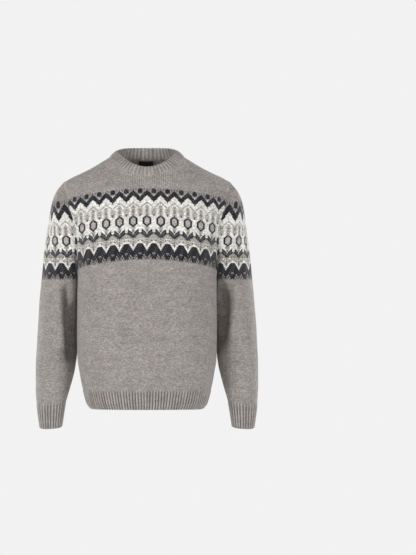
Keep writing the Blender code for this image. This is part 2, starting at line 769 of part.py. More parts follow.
    # The neck rib.
    count = 2 * COLLAR_RIBS
    k, share = along_loop(neck_line, count)
    shared = neck_normals.copy()
    for at, (piece, j, i) in enumerate(neck_places):
        if i in (first, last):
            shared[at] = body_normals["front"][-1, i]
    start = inset_loop(neck_line, shared, True, 1)
    if np.mean(np.sum((start - neck_line) * (neck_top - neck_line), axis=1)) < 0:
        start = inset_loop(neck_line, shared, True, -1)
    lined = on_loop(start, k, share)
    full = np.unwrap(np.append(guess, guess[0] + 2 * math.pi))
    turn = full[k] + (full[k + 1] - full[k]) * share
    top = collar_edge(turn)
    level = unit(on_loop(shared, k, share))
    slope = unit(np.roll(top, -1, axis=0) - np.roll(top, 1, axis=0))
    top_out = unit(np.cross(slope, top - lined))
    top_out *= np.sign(np.sum(top_out * (top * np.array([1, 1, 0]))))
    middle = (lined + top) / 2 + unit(level + top_out) * COLLAR_ROLL
    rows = [lined, middle, top]
    across = [level, unit(level + top_out), top_out]
    build_rib("neck_rib", rows, across, rib_grey)

    # The label lies on the back panel's inner face, just under the neck seam.
    lining = inner_panels["back"]
    middle_at = PANEL_COLUMNS // 2
    reach = LABEL_WIDTH / 2 / abs(lining[-1, middle_at + 1, 0] - lining[-1, middle_at, 0])
    label_outer = []
    for down in np.linspace(LABEL_BELOW_SEAM, LABEL_BELOW_SEAM + LABEL_HEIGHT, 5):
        row = []
        for share in (-reach, -reach / 2, 0.0, reach / 2, reach):
            i = middle_at + (0 if share >= 0 else -1)
            part = share - (i - middle_at)
            strip = lining[:, i] * (1 - part) + lining[:, i + 1] * part
            height = -NECK_DROP_BACK - down
            here = [np.interp(height, strip[:, 2], strip[:, axis]) for axis in range(3)]
            row.append(here)
        label_outer.append(row)
    label_outer = np.array(label_outer)
    behind = grid_normals(label_outer, False)
    behind *= np.sign(np.sum(behind[..., 1]))
    label_outer = label_outer - behind * LABEL_CLEARANCE
    label_inner = label_outer - behind * LABEL_THICKNESS
    wall_mesh("neck_label", label_outer, label_inner, False, black)


def build_rib(name, rows, across, colour):
    """A rib band: ridges in the outer wall over a plain inside."""
    rows = np.array(rows)
    across = np.array(across)
    raise_by = np.where(np.arange(rows.shape[1]) % 2 == 0, 0.0, RIB_RAISE)
    outer = rows + across * raise_by[None, :, None]
    wall_mesh(name, outer, rows - across * WALL, True, colour)


if __name__ == "__main__":
    main()
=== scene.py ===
"""A fair isle crew-neck pullover, filled out as if worn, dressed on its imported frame.

Metres, +Z up, the front faces -Y and the wearer's left is +X. The origin is the
centre of the neck base. Each panel is knitted here stitch by stitch as a thin shell
on the form of its solid, with its own folds, and the patterned band is worked from a
chart, one face for each stitch.
"""

from __future__ import annotations

import enum
import json
import logging
import math
from dataclasses import dataclass, field
from typing import Callable, NamedTuple

import bmesh
import bpy
import numpy as np
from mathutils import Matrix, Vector

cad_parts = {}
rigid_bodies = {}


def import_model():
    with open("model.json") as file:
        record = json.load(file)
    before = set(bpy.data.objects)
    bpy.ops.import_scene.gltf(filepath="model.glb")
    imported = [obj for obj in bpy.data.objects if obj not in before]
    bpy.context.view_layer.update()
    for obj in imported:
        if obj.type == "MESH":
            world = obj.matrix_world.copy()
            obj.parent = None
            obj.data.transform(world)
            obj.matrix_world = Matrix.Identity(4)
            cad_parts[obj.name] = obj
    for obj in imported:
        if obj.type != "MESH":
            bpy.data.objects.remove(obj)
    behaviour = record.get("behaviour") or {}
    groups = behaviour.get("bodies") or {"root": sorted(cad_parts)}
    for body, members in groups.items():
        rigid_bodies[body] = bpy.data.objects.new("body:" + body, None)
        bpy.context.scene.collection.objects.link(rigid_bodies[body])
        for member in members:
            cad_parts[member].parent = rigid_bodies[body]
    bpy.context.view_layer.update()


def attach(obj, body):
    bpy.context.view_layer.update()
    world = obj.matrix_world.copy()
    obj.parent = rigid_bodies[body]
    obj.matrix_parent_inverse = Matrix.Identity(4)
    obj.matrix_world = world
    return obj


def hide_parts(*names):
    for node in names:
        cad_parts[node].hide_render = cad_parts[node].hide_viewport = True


LOG = logging.getLogger("pullover")

STITCH = 0.00262
ROW = 0.002127
WALL = 0.0026

NECK_HALF_WIDTH = 0.100
NECK_DROP_FRONT = 0.052
NECK_DROP_BACK = 0.0045
SHOULDER_HEIGHT = -0.0705
UNDERARM_HEIGHT = -0.299
HEM_SEAM_HEIGHT = -0.625
HEM_HEIGHT = -0.677

BAND_TOP = -0.0853
BAND_BOTTOM = -0.2767

# A face smaller than this is folded to nothing at a piece's edge, and is left out.
LEAST_AREA = 1e-9
SAME_PLACE = 2e-6


class Section(NamedTuple):
    """One level cut through the body, about the vertical axis."""

    height: float
    half_width: float
    front: float
    back: float
    power: float


class ArmholePoint(NamedTuple):
    """Where the armhole seam crosses a level."""

    height: float
    half_width: float


class SleeveRing(NamedTuple):
    """A cut across a sleeve, from its inner (body side) point to its outer one."""

    along: float
    inner_x: float
    inner_z: float
    outer_x: float
    outer_z: float
    middle_y: float
    half_depth: float


class Wave(NamedTuple):
    """One wave of the cloth's soft lie, with its turns in radians for each metre."""

    across: float
    down: float
    height: float


class SoftBox(NamedTuple):
    """A round soft light at the front. Each has a twin at the back."""

    name: str
    x: float
    y: float
    z: float
    size: float
    power: float


class Fold(NamedTuple):
    """A soft trough, or a ridge where depth is negative, between two points."""

    side: int
    across_0: float
    down_0: float
    across_1: float
    down_1: float
    width: float
    depth: float


BODY = (
    Section(0.000, 0.1000, 0.060, 0.060, 2.00),
    Section(-0.011, 0.1175, 0.065, 0.070, 2.00),
    Section(-0.030, 0.1495, 0.070, 0.084, 2.05),
    Section(-0.044, 0.1770, 0.074, 0.092, 2.10),
    Section(-0.0525, 0.1960, 0.078, 0.097, 2.10),
    Section(-0.0625, 0.2140, 0.083, 0.103, 2.12),
    Section(-0.0705, 0.2260, 0.088, 0.107, 2.15),
    Section(-0.110, 0.2265, 0.104, 0.118, 2.20),
    Section(-0.150, 0.2220, 0.116, 0.125, 2.28),
    Section(-0.200, 0.2065, 0.124, 0.128, 2.35),
    Section(-0.245, 0.1980, 0.128, 0.126, 2.40),
    Section(-0.280, 0.1912, 0.129, 0.124, 2.40),
    Section(-0.299, 0.1870, 0.129, 0.124, 2.40),
    Section(-0.380, 0.1875, 0.129, 0.121, 2.40),
    Section(-0.470, 0.1880, 0.128, 0.118, 2.40),
    Section(-0.541, 0.1870, 0.126, 0.117, 2.40),
    Section(-0.577, 0.1815, 0.123, 0.115, 2.40),
    Section(-0.608, 0.1760, 0.116, 0.110, 2.40),
    Section(-0.625, 0.1722, 0.111, 0.106, 2.40),
    Section(-0.650, 0.1662, 0.105, 0.100, 2.40),
    Section(-0.666, 0.1612, 0.101, 0.097, 2.40),
    Section(-0.677, 0.1530, 0.098, 0.094, 2.40),
)

ARMHOLE = (
    ArmholePoint(-0.0705, 0.2260),
    ArmholePoint(-0.0880, 0.2218),
    ArmholePoint(-0.110, 0.2165),
    ArmholePoint(-0.134, 0.2095),
    ArmholePoint(-0.165, 0.1990),
    ArmholePoint(-0.192, 0.1920),
    ArmholePoint(-0.233, 0.1882),
    ArmholePoint(-0.299, 0.1870),
)

SLEEVE = (
    SleeveRing(0.000, 0.1870, -0.299, 0.2260, -0.0705, 0.000, 0.064),
    SleeveRing(0.060, 0.1878, -0.309, 0.2440, -0.0935, 0.003, 0.070),
    SleeveRing(0.120, 0.1870, -0.320, 0.2580, -0.1290, 0.008, 0.072),
    SleeveRing(0.200, 0.1862, -0.337, 0.2675, -0.185, 0.017, 0.071),
    SleeveRing(0.290, 0.1858, -0.362, 0.2755, -0.240, 0.027, 0.067),
    SleeveRing(0.390, 0.1860, -0.397, 0.2835, -0.318, 0.036, 0.063),
    SleeveRing(0.520, 0.1864, -0.452, 0.2915, -0.415, 0.041, 0.061),
    SleeveRing(0.660, 0.1880, -0.520, 0.2975, -0.508, 0.041, 0.058),
    SleeveRing(0.760, 0.1935, -0.566, 0.3000, -0.566, 0.035, 0.055),
    SleeveRing(0.860, 0.2030, -0.605, 0.3000, -0.610, 0.026, 0.050),
    SleeveRing(0.950, 0.2125, -0.638, 0.2985, -0.645, 0.018, 0.043),
    SleeveRing(1.000, 0.2180, -0.656, 0.2968, -0.663, 0.015, 0.038),
    SleeveRing(1.070, 0.2220, -0.680, 0.2942, -0.687, 0.010, 0.035),
    SleeveRing(1.200, 0.2285, -0.7275, 0.2885, -0.7310, 0.002, 0.031),
)

# side -1 is the front and +1 the back; across is measured from the centre line.
BODY_FOLDS = (
    Fold(-1, -0.180, -0.330, -0.120, -0.470, 0.030, 0.0040),
    Fold(-1, 0.185, -0.335, 0.130, -0.480, 0.030, 0.0040),
    Fold(-1, -0.160, -0.585, -0.020, -0.565, 0.026, 0.0030),
    Fold(-1, 0.170, -0.575, 0.060, -0.590, 0.026, 0.0030),
    Fold(1, -0.175, -0.340, -0.110, -0.500, 0.032, 0.0040),
    Fold(1, 0.175, -0.335, 0.120, -0.480, 0.032, 0.0040),
    Fold(-1, -0.215, -0.300, -0.165, -0.345, 0.010, 0.0022),
    Fold(-1, 0.215, -0.300, 0.160, -0.350, 0.010, 0.0022),
    Fold(-1, -0.100, -0.520, -0.060, -0.610, 0.014, 0.0012),
    Fold(-1, 0.020, -0.540, 0.035, -0.615, 0.013, 0.0012),
    Fold(-1, 0.110, -0.500, 0.095, -0.600, 0.015, 0.0013),
    Fold(1, -0.210, -0.300, -0.150, -0.350, 0.010, 0.0022),
    Fold(1, 0.210, -0.300, 0.155, -0.345, 0.010, 0.0022),
    Fold(1, -0.060, -0.530, -0.085, -0.612, 0.014, 0.0012),
    Fold(1, 0.070, -0.520, 0.060, -0.612, 0.014, 0.0012),
    Fold(1, -0.120, -0.200, 0.020, -0.170, 0.022, 0.0012),
)

# across is the turn about the sleeve in degrees, 0 at the body, 90 at the front,
# and down is the height; the width is in metres.
SLEEVE_FOLDS = (
    Fold(-1, 118.0, -0.440, 70.0, -0.475, 0.024, 0.0040),
    Fold(-1, 120.0, -0.560, 60.0, -0.590, 0.022, 0.0040),
    Fold(1, 48.0, -0.330, 42.0, -0.540, 0.028, 0.0100),
    Fold(1, 78.0, -0.335, 66.0, -0.470, 0.012, 0.0080),
    Fold(1, 130.0, -0.470, 80.0, -0.510, 0.024, 0.0040),
    Fold(-1, 95.0, -0.330, 60.0, -0.400, 0.012, 0.0016),
    Fold(-1, 140.0, -0.500, 95.0, -0.530, 0.010, 0.0018),
    Fold(-1, 100.0, -0.600, 60.0, -0.625, 0.009, 0.0022),
    Fold(-1, 150.0, -0.615, 110.0, -0.635, 0.009, 0.0020),
    Fold(1, 100.0, -0.330, 60.0, -0.380, 0.012, 0.0016),
    Fold(1, 145.0, -0.560, 90.0, -0.585, 0.010, 0.0020),
    Fold(1, 110.0, -0.610, 60.0, -0.630, 0.009, 0.0022),
)

# The deep creases beside the body at the front, which the two sleeves don't share.
INNER_FOLDS = {
    -1: (
        Fold(-1, 70.0, -0.350, 47.0, -0.520, 0.013, 0.0210),
        Fold(-1, 36.0, -0.400, 34.0, -0.540, 0.030, 0.0320),
    ),
    1: (
        Fold(-1, 46.0, -0.350, 34.0, -0.500, 0.026, 0.0380),
        Fold(-1, 84.0, -0.340, 66.0, -0.420, 0.013, 0.0050),
    ),
}

LIE_WAVES = (Wave(31, 17, 0.38), Wave(-23, 41, 0.30), Wave(57, 36, 0.18), Wave(12, -74, 0.14))

SOFT_BOXES = (
    SoftBox("key", -2.8, -2.4, 0.9, 1.6, 105.0),
    SoftBox("fill", 2.8, -2.4, 0.5, 1.6, 75.0),
    SoftBox("straight", 0.0, -4.0, -0.6, 2.0, 14.0),
)


class Yarn(enum.Enum):
    """The yarns, by their mark on the chart."""

    GROUND = "."
    CHARCOAL = "d"
    CREAM = "c"
    MOTIF = "g"
    LIGHT = "l"
    MEDALLION = "m"
    SMOKE = "k"
    FLECKED = "f"


YARN_SHADES = {
    Yarn.GROUND: (166, 160, 156),
    Yarn.CHARCOAL: (31, 31, 38),
    Yarn.CREAM: (241, 240, 234),
    Yarn.MOTIF: (170, 165, 160),
    Yarn.LIGHT: (214, 210, 204),
    Yarn.MEDALLION: (186, 179, 178),
    Yarn.SMOKE: (96, 93, 97),
    Yarn.FLECKED: (150, 145, 140),
}

# Half of the repeat, from the stitch midway between two medallions to the middle one.
BAND_ROWS = """
dd..k..k ddd..k.k ddd.k..d dddg..dd ddd..ddd ddk.dddd kg.kdddd l.gddddd cgdddddd lddddddc
ddddddcc dddddccc ddddcccc ddddcccl dddccccl ddcccccl dccccccl dccccclg ccccclgg cccclgcl
ccclglcc cclglclg clglccfg lglcclgg lflcclgg fglcclfg kfllclgk gfllccgg lfgcclfg gflcclgk
lfgcclgg gflcclfg kglcclgg dglcclgk dlccclgd cccccddd ccccdddm cccdddmm cccddmmm cccddmmm
cccddmmm cccddmlm cccddmmm cccddmmm cccdddmm ccccdddm cccccddd ccccccdd cccccfgd cccccgfg
cccccfgg ccdcccgg ccddccfg ccdddcgd ccdkddcd lddkkddc ddddkkdc ggdddkkd gggdddkk fgggkddk
ffggfkdd fkfggkkd ffgffggk fcffcffg fffcfffd cfkffffc ccffgffk cccgfffd ccccfgfg dddcccfk
ddddccfd ddddccfd dddddccg dddddccg ddddddcc ddddddcc dddddddc dddddddc dddddddd dddddddd
kddddddd ggdddddd kkdddddd kddd.ddd dddd.kdd ddddk.dd ddd.dk.d ddd.k.dd kdd..d.k .k.k..k.
"""


def smooth_curve(knots: list[float], values: list[float], at: np.ndarray) -> np.ndarray:
    """Values between knots, with slopes that never overshoot.

    Args:
        knots: places where the value is known.
        values: the value at each.
        at: places to read.

    Returns:
        The values there.
    """
    order = np.argsort(knots)
    x = np.asarray(knots, float)[order]
    y = np.asarray(values, float)[order]
    step = np.diff(x)
    rise = np.diff(y) / step
    slope = np.zeros_like(y)
    slope[0] = rise[0]
    slope[-1] = rise[-1]
    for k in range(1, len(x) - 1):
        if rise[k - 1] * rise[k] > 0:
            first = 2 * step[k] + step[k - 1]
            second = step[k] + 2 * step[k - 1]
            slope[k] = (first + second) / (first / rise[k - 1] + second / rise[k])
    at = np.clip(np.asarray(at, float), x[0], x[-1])
    k = np.clip(np.searchsorted(x, at) - 1, 0, len(x) - 2)
    u = (at - x[k]) / step[k]
    a = (1 + 2 * u) * (1 - u) ** 2
    b = u * (1 - u) ** 2
    c = u**2 * (3 - 2 * u)
    d = u**2 * (u - 1)
    return a * y[k] + b * step[k] * slope[k] + c * y[k + 1] + d * step[k] * slope[k + 1]


def column(table: tuple, name: str) -> list[float]:
    """One named column of a table."""
    return [getattr(row, name) for row in table]


def unit(vector: np.ndarray) -> np.ndarray:
    """Vectors scaled to length one."""
    length = np.linalg.norm(vector, axis=-1, keepdims=True)
    return vector / np.maximum(length, 1e-12)


def ease(value: np.ndarray) -> np.ndarray:
    """A smooth step from 0 to 1 over the same range."""
    value = np.clip(value, 0, 1)
    return value * value * (3 - 2 * value)


def bell(off: np.ndarray, width: float) -> np.ndarray:
    """A smooth bump, 1 where off is 0."""
    return np.exp(-((off / width) ** 2))


def distance_along(line: np.ndarray) -> np.ndarray:
    """The distance along a line at each of its points."""
    return np.concatenate([[0], np.cumsum(np.linalg.norm(np.diff(line, axis=0), axis=1))])


def has_area(points: np.ndarray) -> np.ndarray:
    """True for each face of a grid of points that isn't folded to nothing."""
    rising = points[1:, 1:] - points[:-1, :-1]
    falling = points[1:, :-1] - points[:-1, 1:]
    return np.linalg.norm(np.cross(rising, falling), axis=-1) > LEAST_AREA


def section_at(height: np.ndarray, name: str) -> np.ndarray:
    """A body section's value at any height."""
    return smooth_curve(column(BODY, "height"), column(BODY, name), height)


def armhole_width(height: np.ndarray) -> np.ndarray:
    """Distance of the armhole seam from the middle plane."""
    return smooth_curve(column(ARMHOLE, "height"), column(ARMHOLE, "half_width"), height)


def neck_height(x: np.ndarray, side: int) -> np.ndarray:
    """Height of the neckline seam at this distance from the middle plane."""
    drop = NECK_DROP_FRONT if side < 0 else NECK_DROP_BACK
    return -drop * (1 - (x / NECK_HALF_WIDTH) ** 2)


def trough(
    across: np.ndarray, down: np.ndarray, fold: Fold, per_across: float = 1.0
) -> np.ndarray:
    """How deep a fold is at each point, uneven along it and fading out at its ends.

    Args:
        across: distance or turn across the surface.
        down: height on it.
        fold: the fold.
        per_across: metres for one unit of across.

    Returns:
        The depths in metres.
    """
    start = np.array([fold.across_0 * per_across, fold.down_0])
    run = np.array([fold.across_1 * per_across, fold.down_1]) - start
    x = across * per_across - start[0]
    z = down - start[1]
    part = (x * run[0] + z * run[1]) / (run @ run)
    off = (x * run[1] - z * run[0]) / np.linalg.norm(run)
    wander = 0.12 * fold.width * np.sin(5.0 * part + 90 * fold.down_0)
    past_end = np.clip(np.abs(part - 0.5) - 0.5, 0, None)
    fade = np.exp(-((2.0 * part - 1.0) ** 4)) * np.exp(-(past_end**2) * 12)
    near = (off + wander) / fold.width
    return fold.depth * (1.0 - 0.55 * near**2) * np.exp(-0.5 * near**2) * fade


def waviness(a: np.ndarray, b: np.ndarray, seed: float) -> np.ndarray:
    """A soft lie of the cloth, from -1 to 1, over about a hand's width.

    Args:
        a: distance across, in metres.
        b: distance down, in metres.
        seed: shifts it from piece to piece.

    Returns:
        The unevenness at each point.
    """
    found = np.zeros(np.broadcast(a, b).shape)
    for k, wave in enumerate(LIE_WAVES):
        turn = wave.across * a + wave.down * b + 2.4 * k + seed
        found = found + wave.height * np.sin(turn)
    return found


@dataclass(frozen=True)
class Relief:
    """How a panel's cloth stands off its plain form."""

    seam_depth: float
    lie: float
    seam_reach: float = 0.0032
    band_rise: float = 0.0006
    band_edge: float = 0.002
    tuck_depth: float = 0.0016
    tuck_below: float = 0.0045
    tuck_width: float = 0.0022
    calm: float = 0.03

    def seam(self, near: np.ndarray) -> np.ndarray:
        """The dip at a seam, by the distance from it."""
        return -self.seam_depth * bell(near, self.seam_reach)

    def band(self, row: np.ndarray, bottom: float, top: float) -> np.ndarray:
        """The thicker band between two levels, and the tuck just under it."""
        above = ease((row - bottom + self.band_edge) / (2 * self.band_edge))
        below = ease((top + self.band_edge - row) / (2 * self.band_edge))
        tuck = self.tuck_depth * bell(row - bottom + self.tuck_below, self.tuck_width)
        return self.band_rise * (above * below) - tuck

    def soft(self, waves: np.ndarray, near: np.ndarray) -> np.ndarray:
        """The soft lie of the cloth, gone at the seams."""
        return self.lie * waves * ease(near / self.calm)


class BodySurface:
    """The body's outer surface, by distance from the centre line and height."""

    STEP = 0.001
    SAMPLES = 240
    NEAR = 0.0012
    SIDE_LEAN = 0.45

    def __init__(self, side: int) -> None:
        """Works out the sections of one side.

        Args:
            side: -1 for the front, 1 for the back.
        """
        self.side = side
        self.heights = np.arange(HEM_HEIGHT - 2 * self.STEP, self.STEP / 2, self.STEP)
        turn = np.linspace(0.0, 1.0, 500) ** 0.8 * math.pi / 2
        share = np.linspace(0.0, 1.0, self.SAMPLES)
        self.length = np.zeros(len(self.heights))
        self.x = np.zeros((len(self.heights), self.SAMPLES))
        self.y = np.zeros_like(self.x)
        power = section_at(self.heights, "power")
        wide = section_at(self.heights, "half_width")
        deep = section_at(self.heights, "front" if side < 0 else "back")
        for k in range(len(self.heights)):
            x = wide[k] * np.sin(turn) ** (2 / power[k])
            y = deep[k] * np.cos(turn).clip(0) ** (2 / power[k])
            run = np.concatenate([[0], np.cumsum(np.hypot(np.diff(x), np.diff(y)))])
            self.length[k] = run[-1]
            self.x[k] = np.interp(share * run[-1], run, x)
            self.y[k] = np.interp(share * run[-1], run, y)

    def half_length(self, height: np.ndarray) -> np.ndarray:
        """Distance round from the centre line to the side, at a height."""
        return np.interp(height, self.heights, self.length)

    def plain(self, across: np.ndarray, height: np.ndarray) -> tuple:
        """Points without folds.

        Args:
            across: distance round from the centre line.
            height: height of each point.

        Returns:
            The x, y and z of each.
        """
        across, height = np.broadcast_arrays(
            np.asarray(across, float), np.asarray(height, float)
        )
        share = np.clip(np.abs(across) / self.half_length(height), 0, 1)
        row = np.clip((height - self.heights[0]) / self.STEP, 0, len(self.heights) - 1.001)
        col = np.clip(share * (self.SAMPLES - 1), 0, self.SAMPLES - 1.001)
        r = row.astype(int)
        c = col.astype(int)
        u = row - r
        v = col - c
        found = []
        for grid in (self.x, self.y):
            low = grid[r, c] * (1 - v) + grid[r, c + 1] * v
            high = grid[r + 1, c] * (1 - v) + grid[r + 1, c + 1] * v
            found.append(low * (1 - u) + high * u)
        return found[0] * np.sign(across), found[1] * self.side, height

    def points(self, across: np.ndarray, height: np.ndarray) -> np.ndarray:
        """Points on the surface, folds included.

        Args:
            across: distance round from the centre line.
            height: height of each point.

        Returns:
            One point for each pair.
        """
        x, y, z = self.plain(across, height)
        half = self.half_length(z)
        deep = np.zeros_like(x)
        for fold in BODY_FOLDS:
            if fold.side == self.side:
                deep = deep + trough(across, z, fold)
        hold = 1 - np.clip(np.abs(across) / half, 0, 1) ** 6
        out = unit(np.stack([x * self.SIDE_LEAN, y], axis=-1))
        deep = deep * hold
        return np.stack([x - out[..., 0] * deep, y - out[..., 1] * deep, z], axis=-1)

    def normals(self, across: np.ndarray, height: np.ndarray) -> np.ndarray:
        """Outward directions of the surface.

        Args:
            across: distance round from the centre line.
            height: height of each point.

        Returns:
            One direction for each pair.
        """
        half = self.half_length(height)
        right = np.minimum(across + self.NEAR, half)
        left = np.maximum(across - self.NEAR, -half)
        sideways = self.points(right, height) - self.points(left, height)
        above = np.minimum(height + self.NEAR, 0.0)
        up = self.points(across, above) - self.points(across, height - self.NEAR)
        return unit(np.cross(sideways, up)) * -self.side

    def across_of(self, x: np.ndarray, height: np.ndarray) -> np.ndarray:
        """Distance round from the centre line of the point with this x.

        Args:
            x: distance from the middle plane.
            height: height of each point.

        Returns:
            The distance for each pair.
        """
        found = []
        for one, level in zip(np.ravel(x), np.ravel(height)):
            share = np.linspace(0.0, 1.0, 400)
            length = float(self.half_length(level))
            line = self.plain(share * length, np.full(400, level))[0].copy()
            line[-1] = max(line[-1], abs(one))
            found.append(np.interp(abs(one), line, share * length) * np.sign(one))
        return np.array(found)


class SleeveSurface:
    """A sleeve's outer surface, by share of its length and turn about it.

    It is worked out at +X and mirrored. Turn 0 is next to the body, a quarter is the
    front, a half the outer edge and three quarters the back.
    """

    FADE = 0.16
    PER_DEGREE = 0.00105
    NEAR_TURN = 0.02
    NEAR_ALONG = 0.004

    def __init__(self, mirror: int, front: BodySurface, back: BodySurface) -> None:
        """Works out the armhole that the sleeve starts from.

        Args:
            mirror: 1 for the wearer's left, -1 for the right.
            front: the front panel's surface.
            back: the back panel's surface.
        """
        self.mirror = mirror
        self.turns = np.linspace(0, 2 * math.pi, 481)
        share = (1 - np.cos(self.turns)) / 2
        height = UNDERARM_HEIGHT + (SHOULDER_HEIGHT - UNDERARM_HEIGHT) * share
        x = armhole_width(height)
        ahead = front.points(front.across_of(x, height), height)
        behind = back.points(back.across_of(x, height), height)
        y = np.where(np.sin(self.turns) >= 0, ahead[..., 1], behind[..., 1])
        y[np.abs(np.sin(self.turns)) < 1e-9] = 0.0
        self.seam = np.stack([x, y, height], axis=-1)

    def ring(self, along: np.ndarray, turn: np.ndarray) -> np.ndarray:
        """Points of the plain rings."""
        value = {
            name: smooth_curve(column(SLEEVE, "along"), column(SLEEVE, name), along)
            for name in SleeveRing._fields[1:]
        }
        swing = (1 - np.cos(turn)) / 2
        square = np.sin(turn) * (1 + 0.10 * np.cos(turn) ** 2)
        x = value["inner_x"] * (1 - swing) + value["outer_x"] * swing
        z = value["inner_z"] * (1 - swing) + value["outer_z"] * swing
        y = value["middle_y"] - value["half_depth"] * square
        return np.stack([x, y, z], axis=-1)

    def armhole(self, turn: np.ndarray) -> np.ndarray:
        """Points of the armhole seam."""
        turn = np.mod(turn, 2 * math.pi)
        values = [np.interp(turn, self.turns, self.seam[:, k]) for k in range(3)]
        return np.stack(values, axis=-1)

    def points(self, along: np.ndarray, turn: np.ndarray) -> np.ndarray:
        """Points on the surface, folds included.

        Args:
            along: share of the sleeve's length, past 1 on the cuff.
            turn: turn about the sleeve, in radians.

        Returns:
            One point for each pair.
        """
        along, turn = np.broadcast_arrays(np.asarray(along, float), np.asarray(turn, float))
        found = self.ring(along, turn)
        keep = 1 - ease(along / self.FADE)
        start = self.armhole(turn) - self.ring(np.zeros_like(turn), turn)
        found = found + start * keep[..., None]
        inner = self.ring(along, np.zeros_like(turn))
        outer = self.ring(along, np.full_like(turn, math.pi))
        out = unit(found - (inner + outer) / 2)
        angle = np.degrees(np.mod(turn, 2 * math.pi))
        deep = np.zeros_like(turn)
        for fold in SLEEVE_FOLDS + INNER_FOLDS[self.mirror]:
            place = angle if fold.side < 0 else 360 - angle
            deep = deep + trough(place, found[..., 2], fold, self.PER_DEGREE)
        hold = np.clip(along / 0.2, 0, 1) * np.clip((1.02 - along) / 0.12, 0, 1)
        found = found - out * (deep * hold)[..., None]
        return found * np.array([self.mirror, 1, 1])

    def normals(self, along: np.ndarray, turn: np.ndarray) -> np.ndarray:
        """Outward directions of the surface.

        Args:
            along: share of the sleeve's length.
            turn: turn about the sleeve, in radians.

        Returns:
            One direction for each pair.
        """
        ahead = self.points(along, turn + self.NEAR_TURN)
        ahead = ahead - self.points(along, turn - self.NEAR_TURN)
        down = self.points(along + self.NEAR_ALONG, turn)
        down = down - self.points(np.maximum(along - self.NEAR_ALONG, 0), turn)
        return unit(np.cross(down, ahead)) * -self.mirror


class NodeBoard:
    """A material's nodes, added and joined one after another."""

    def __init__(self, name: str) -> None:
        """Starts a material with its shader."""
        self.material = bpy.data.materials.new(name)
        self.material.use_nodes = True
        self.nodes = self.material.node_tree.nodes
        self.shader = self.nodes["Principled BSDF"]

    def link(self, source: bpy.types.NodeSocket, target: bpy.types.NodeSocket) -> None:
        """Joins two sockets."""
        self.material.node_tree.links.new(source, target)

    def add(self, kind: str, **settings: object) -> bpy.types.Node:
        """Adds a node and gives it its settings."""
        node = self.nodes.new(kind)
        for name, value in settings.items():
            setattr(node, name, value)
        return node

    def maths(self, operation: str, *values: object) -> bpy.types.NodeSocket:
        """One step of arithmetic.

        Args:
            operation: the step, as the Math node names it.
            values: numbers, or sockets to read.

        Returns:
            The socket that holds the result.
        """
        node = self.add("ShaderNodeMath", operation=operation)
        for socket, value in zip(node.inputs, values):
            if isinstance(value, bpy.types.NodeSocket):
                self.link(value, socket)
            else:
                socket.default_value = value
        return node.outputs[0]

    def product(self, *values: object) -> bpy.types.NodeSocket:
        """All the values multiplied, the first two first."""
        found = values[0]
        for value in values[1:]:
            found = self.maths("MULTIPLY", found, value)
        return found

    def noise(
        self, where: bpy.types.NodeSocket, scale: float, detail: float = 2.0
    ) -> bpy.types.NodeSocket:
        """A cloudy pattern, from 0 to 1."""
        node = self.add("ShaderNodeTexNoise")
        node.inputs["Scale"].default_value = scale
        node.inputs["Detail"].default_value = detail
        self.link(where, node.inputs["Vector"])
        return node.outputs[0]

    def spread(self, value: bpy.types.NodeSocket, amount: float) -> bpy.types.NodeSocket:
        """A middling pattern stretched out by this amount to each side of 1."""
        node = self.add("ShaderNodeMapRange")
        limits = {"From Min": 0.3, "From Max": 0.7, "To Min": 1.0 - amount, "To Max": 1.0 + amount}
        for name, limit in limits.items():
            node.inputs[name].default_value = limit
        self.link(value, node.inputs["Value"])
        return node.outputs[0]

    def finish(
        self, height: bpy.types.NodeSocket, strength: float, distance: float, **surface: float
    ) -> bpy.types.Material:
        """Gives the shader its relief and its plain values.

        Args:
            height: the relief, from 0 to 1.
            strength: how strongly it shows.
            distance: its height in metres.
            surface: the shader's values, their names with _ for a space.

        Returns:
            The finished material.
        """
        bump = self.add("ShaderNodeBump")
        bump.inputs["Strength"].default_value = strength
        bump.inputs["Distance"].default_value = distance
        self.link(height, bump.inputs["Height"])
        self.link(bump.outputs[0], self.shader.inputs["Normal"])
        for name, value in surface.items():
            self.shader.inputs[name.replace("_", " ")].default_value = value
        return self.material


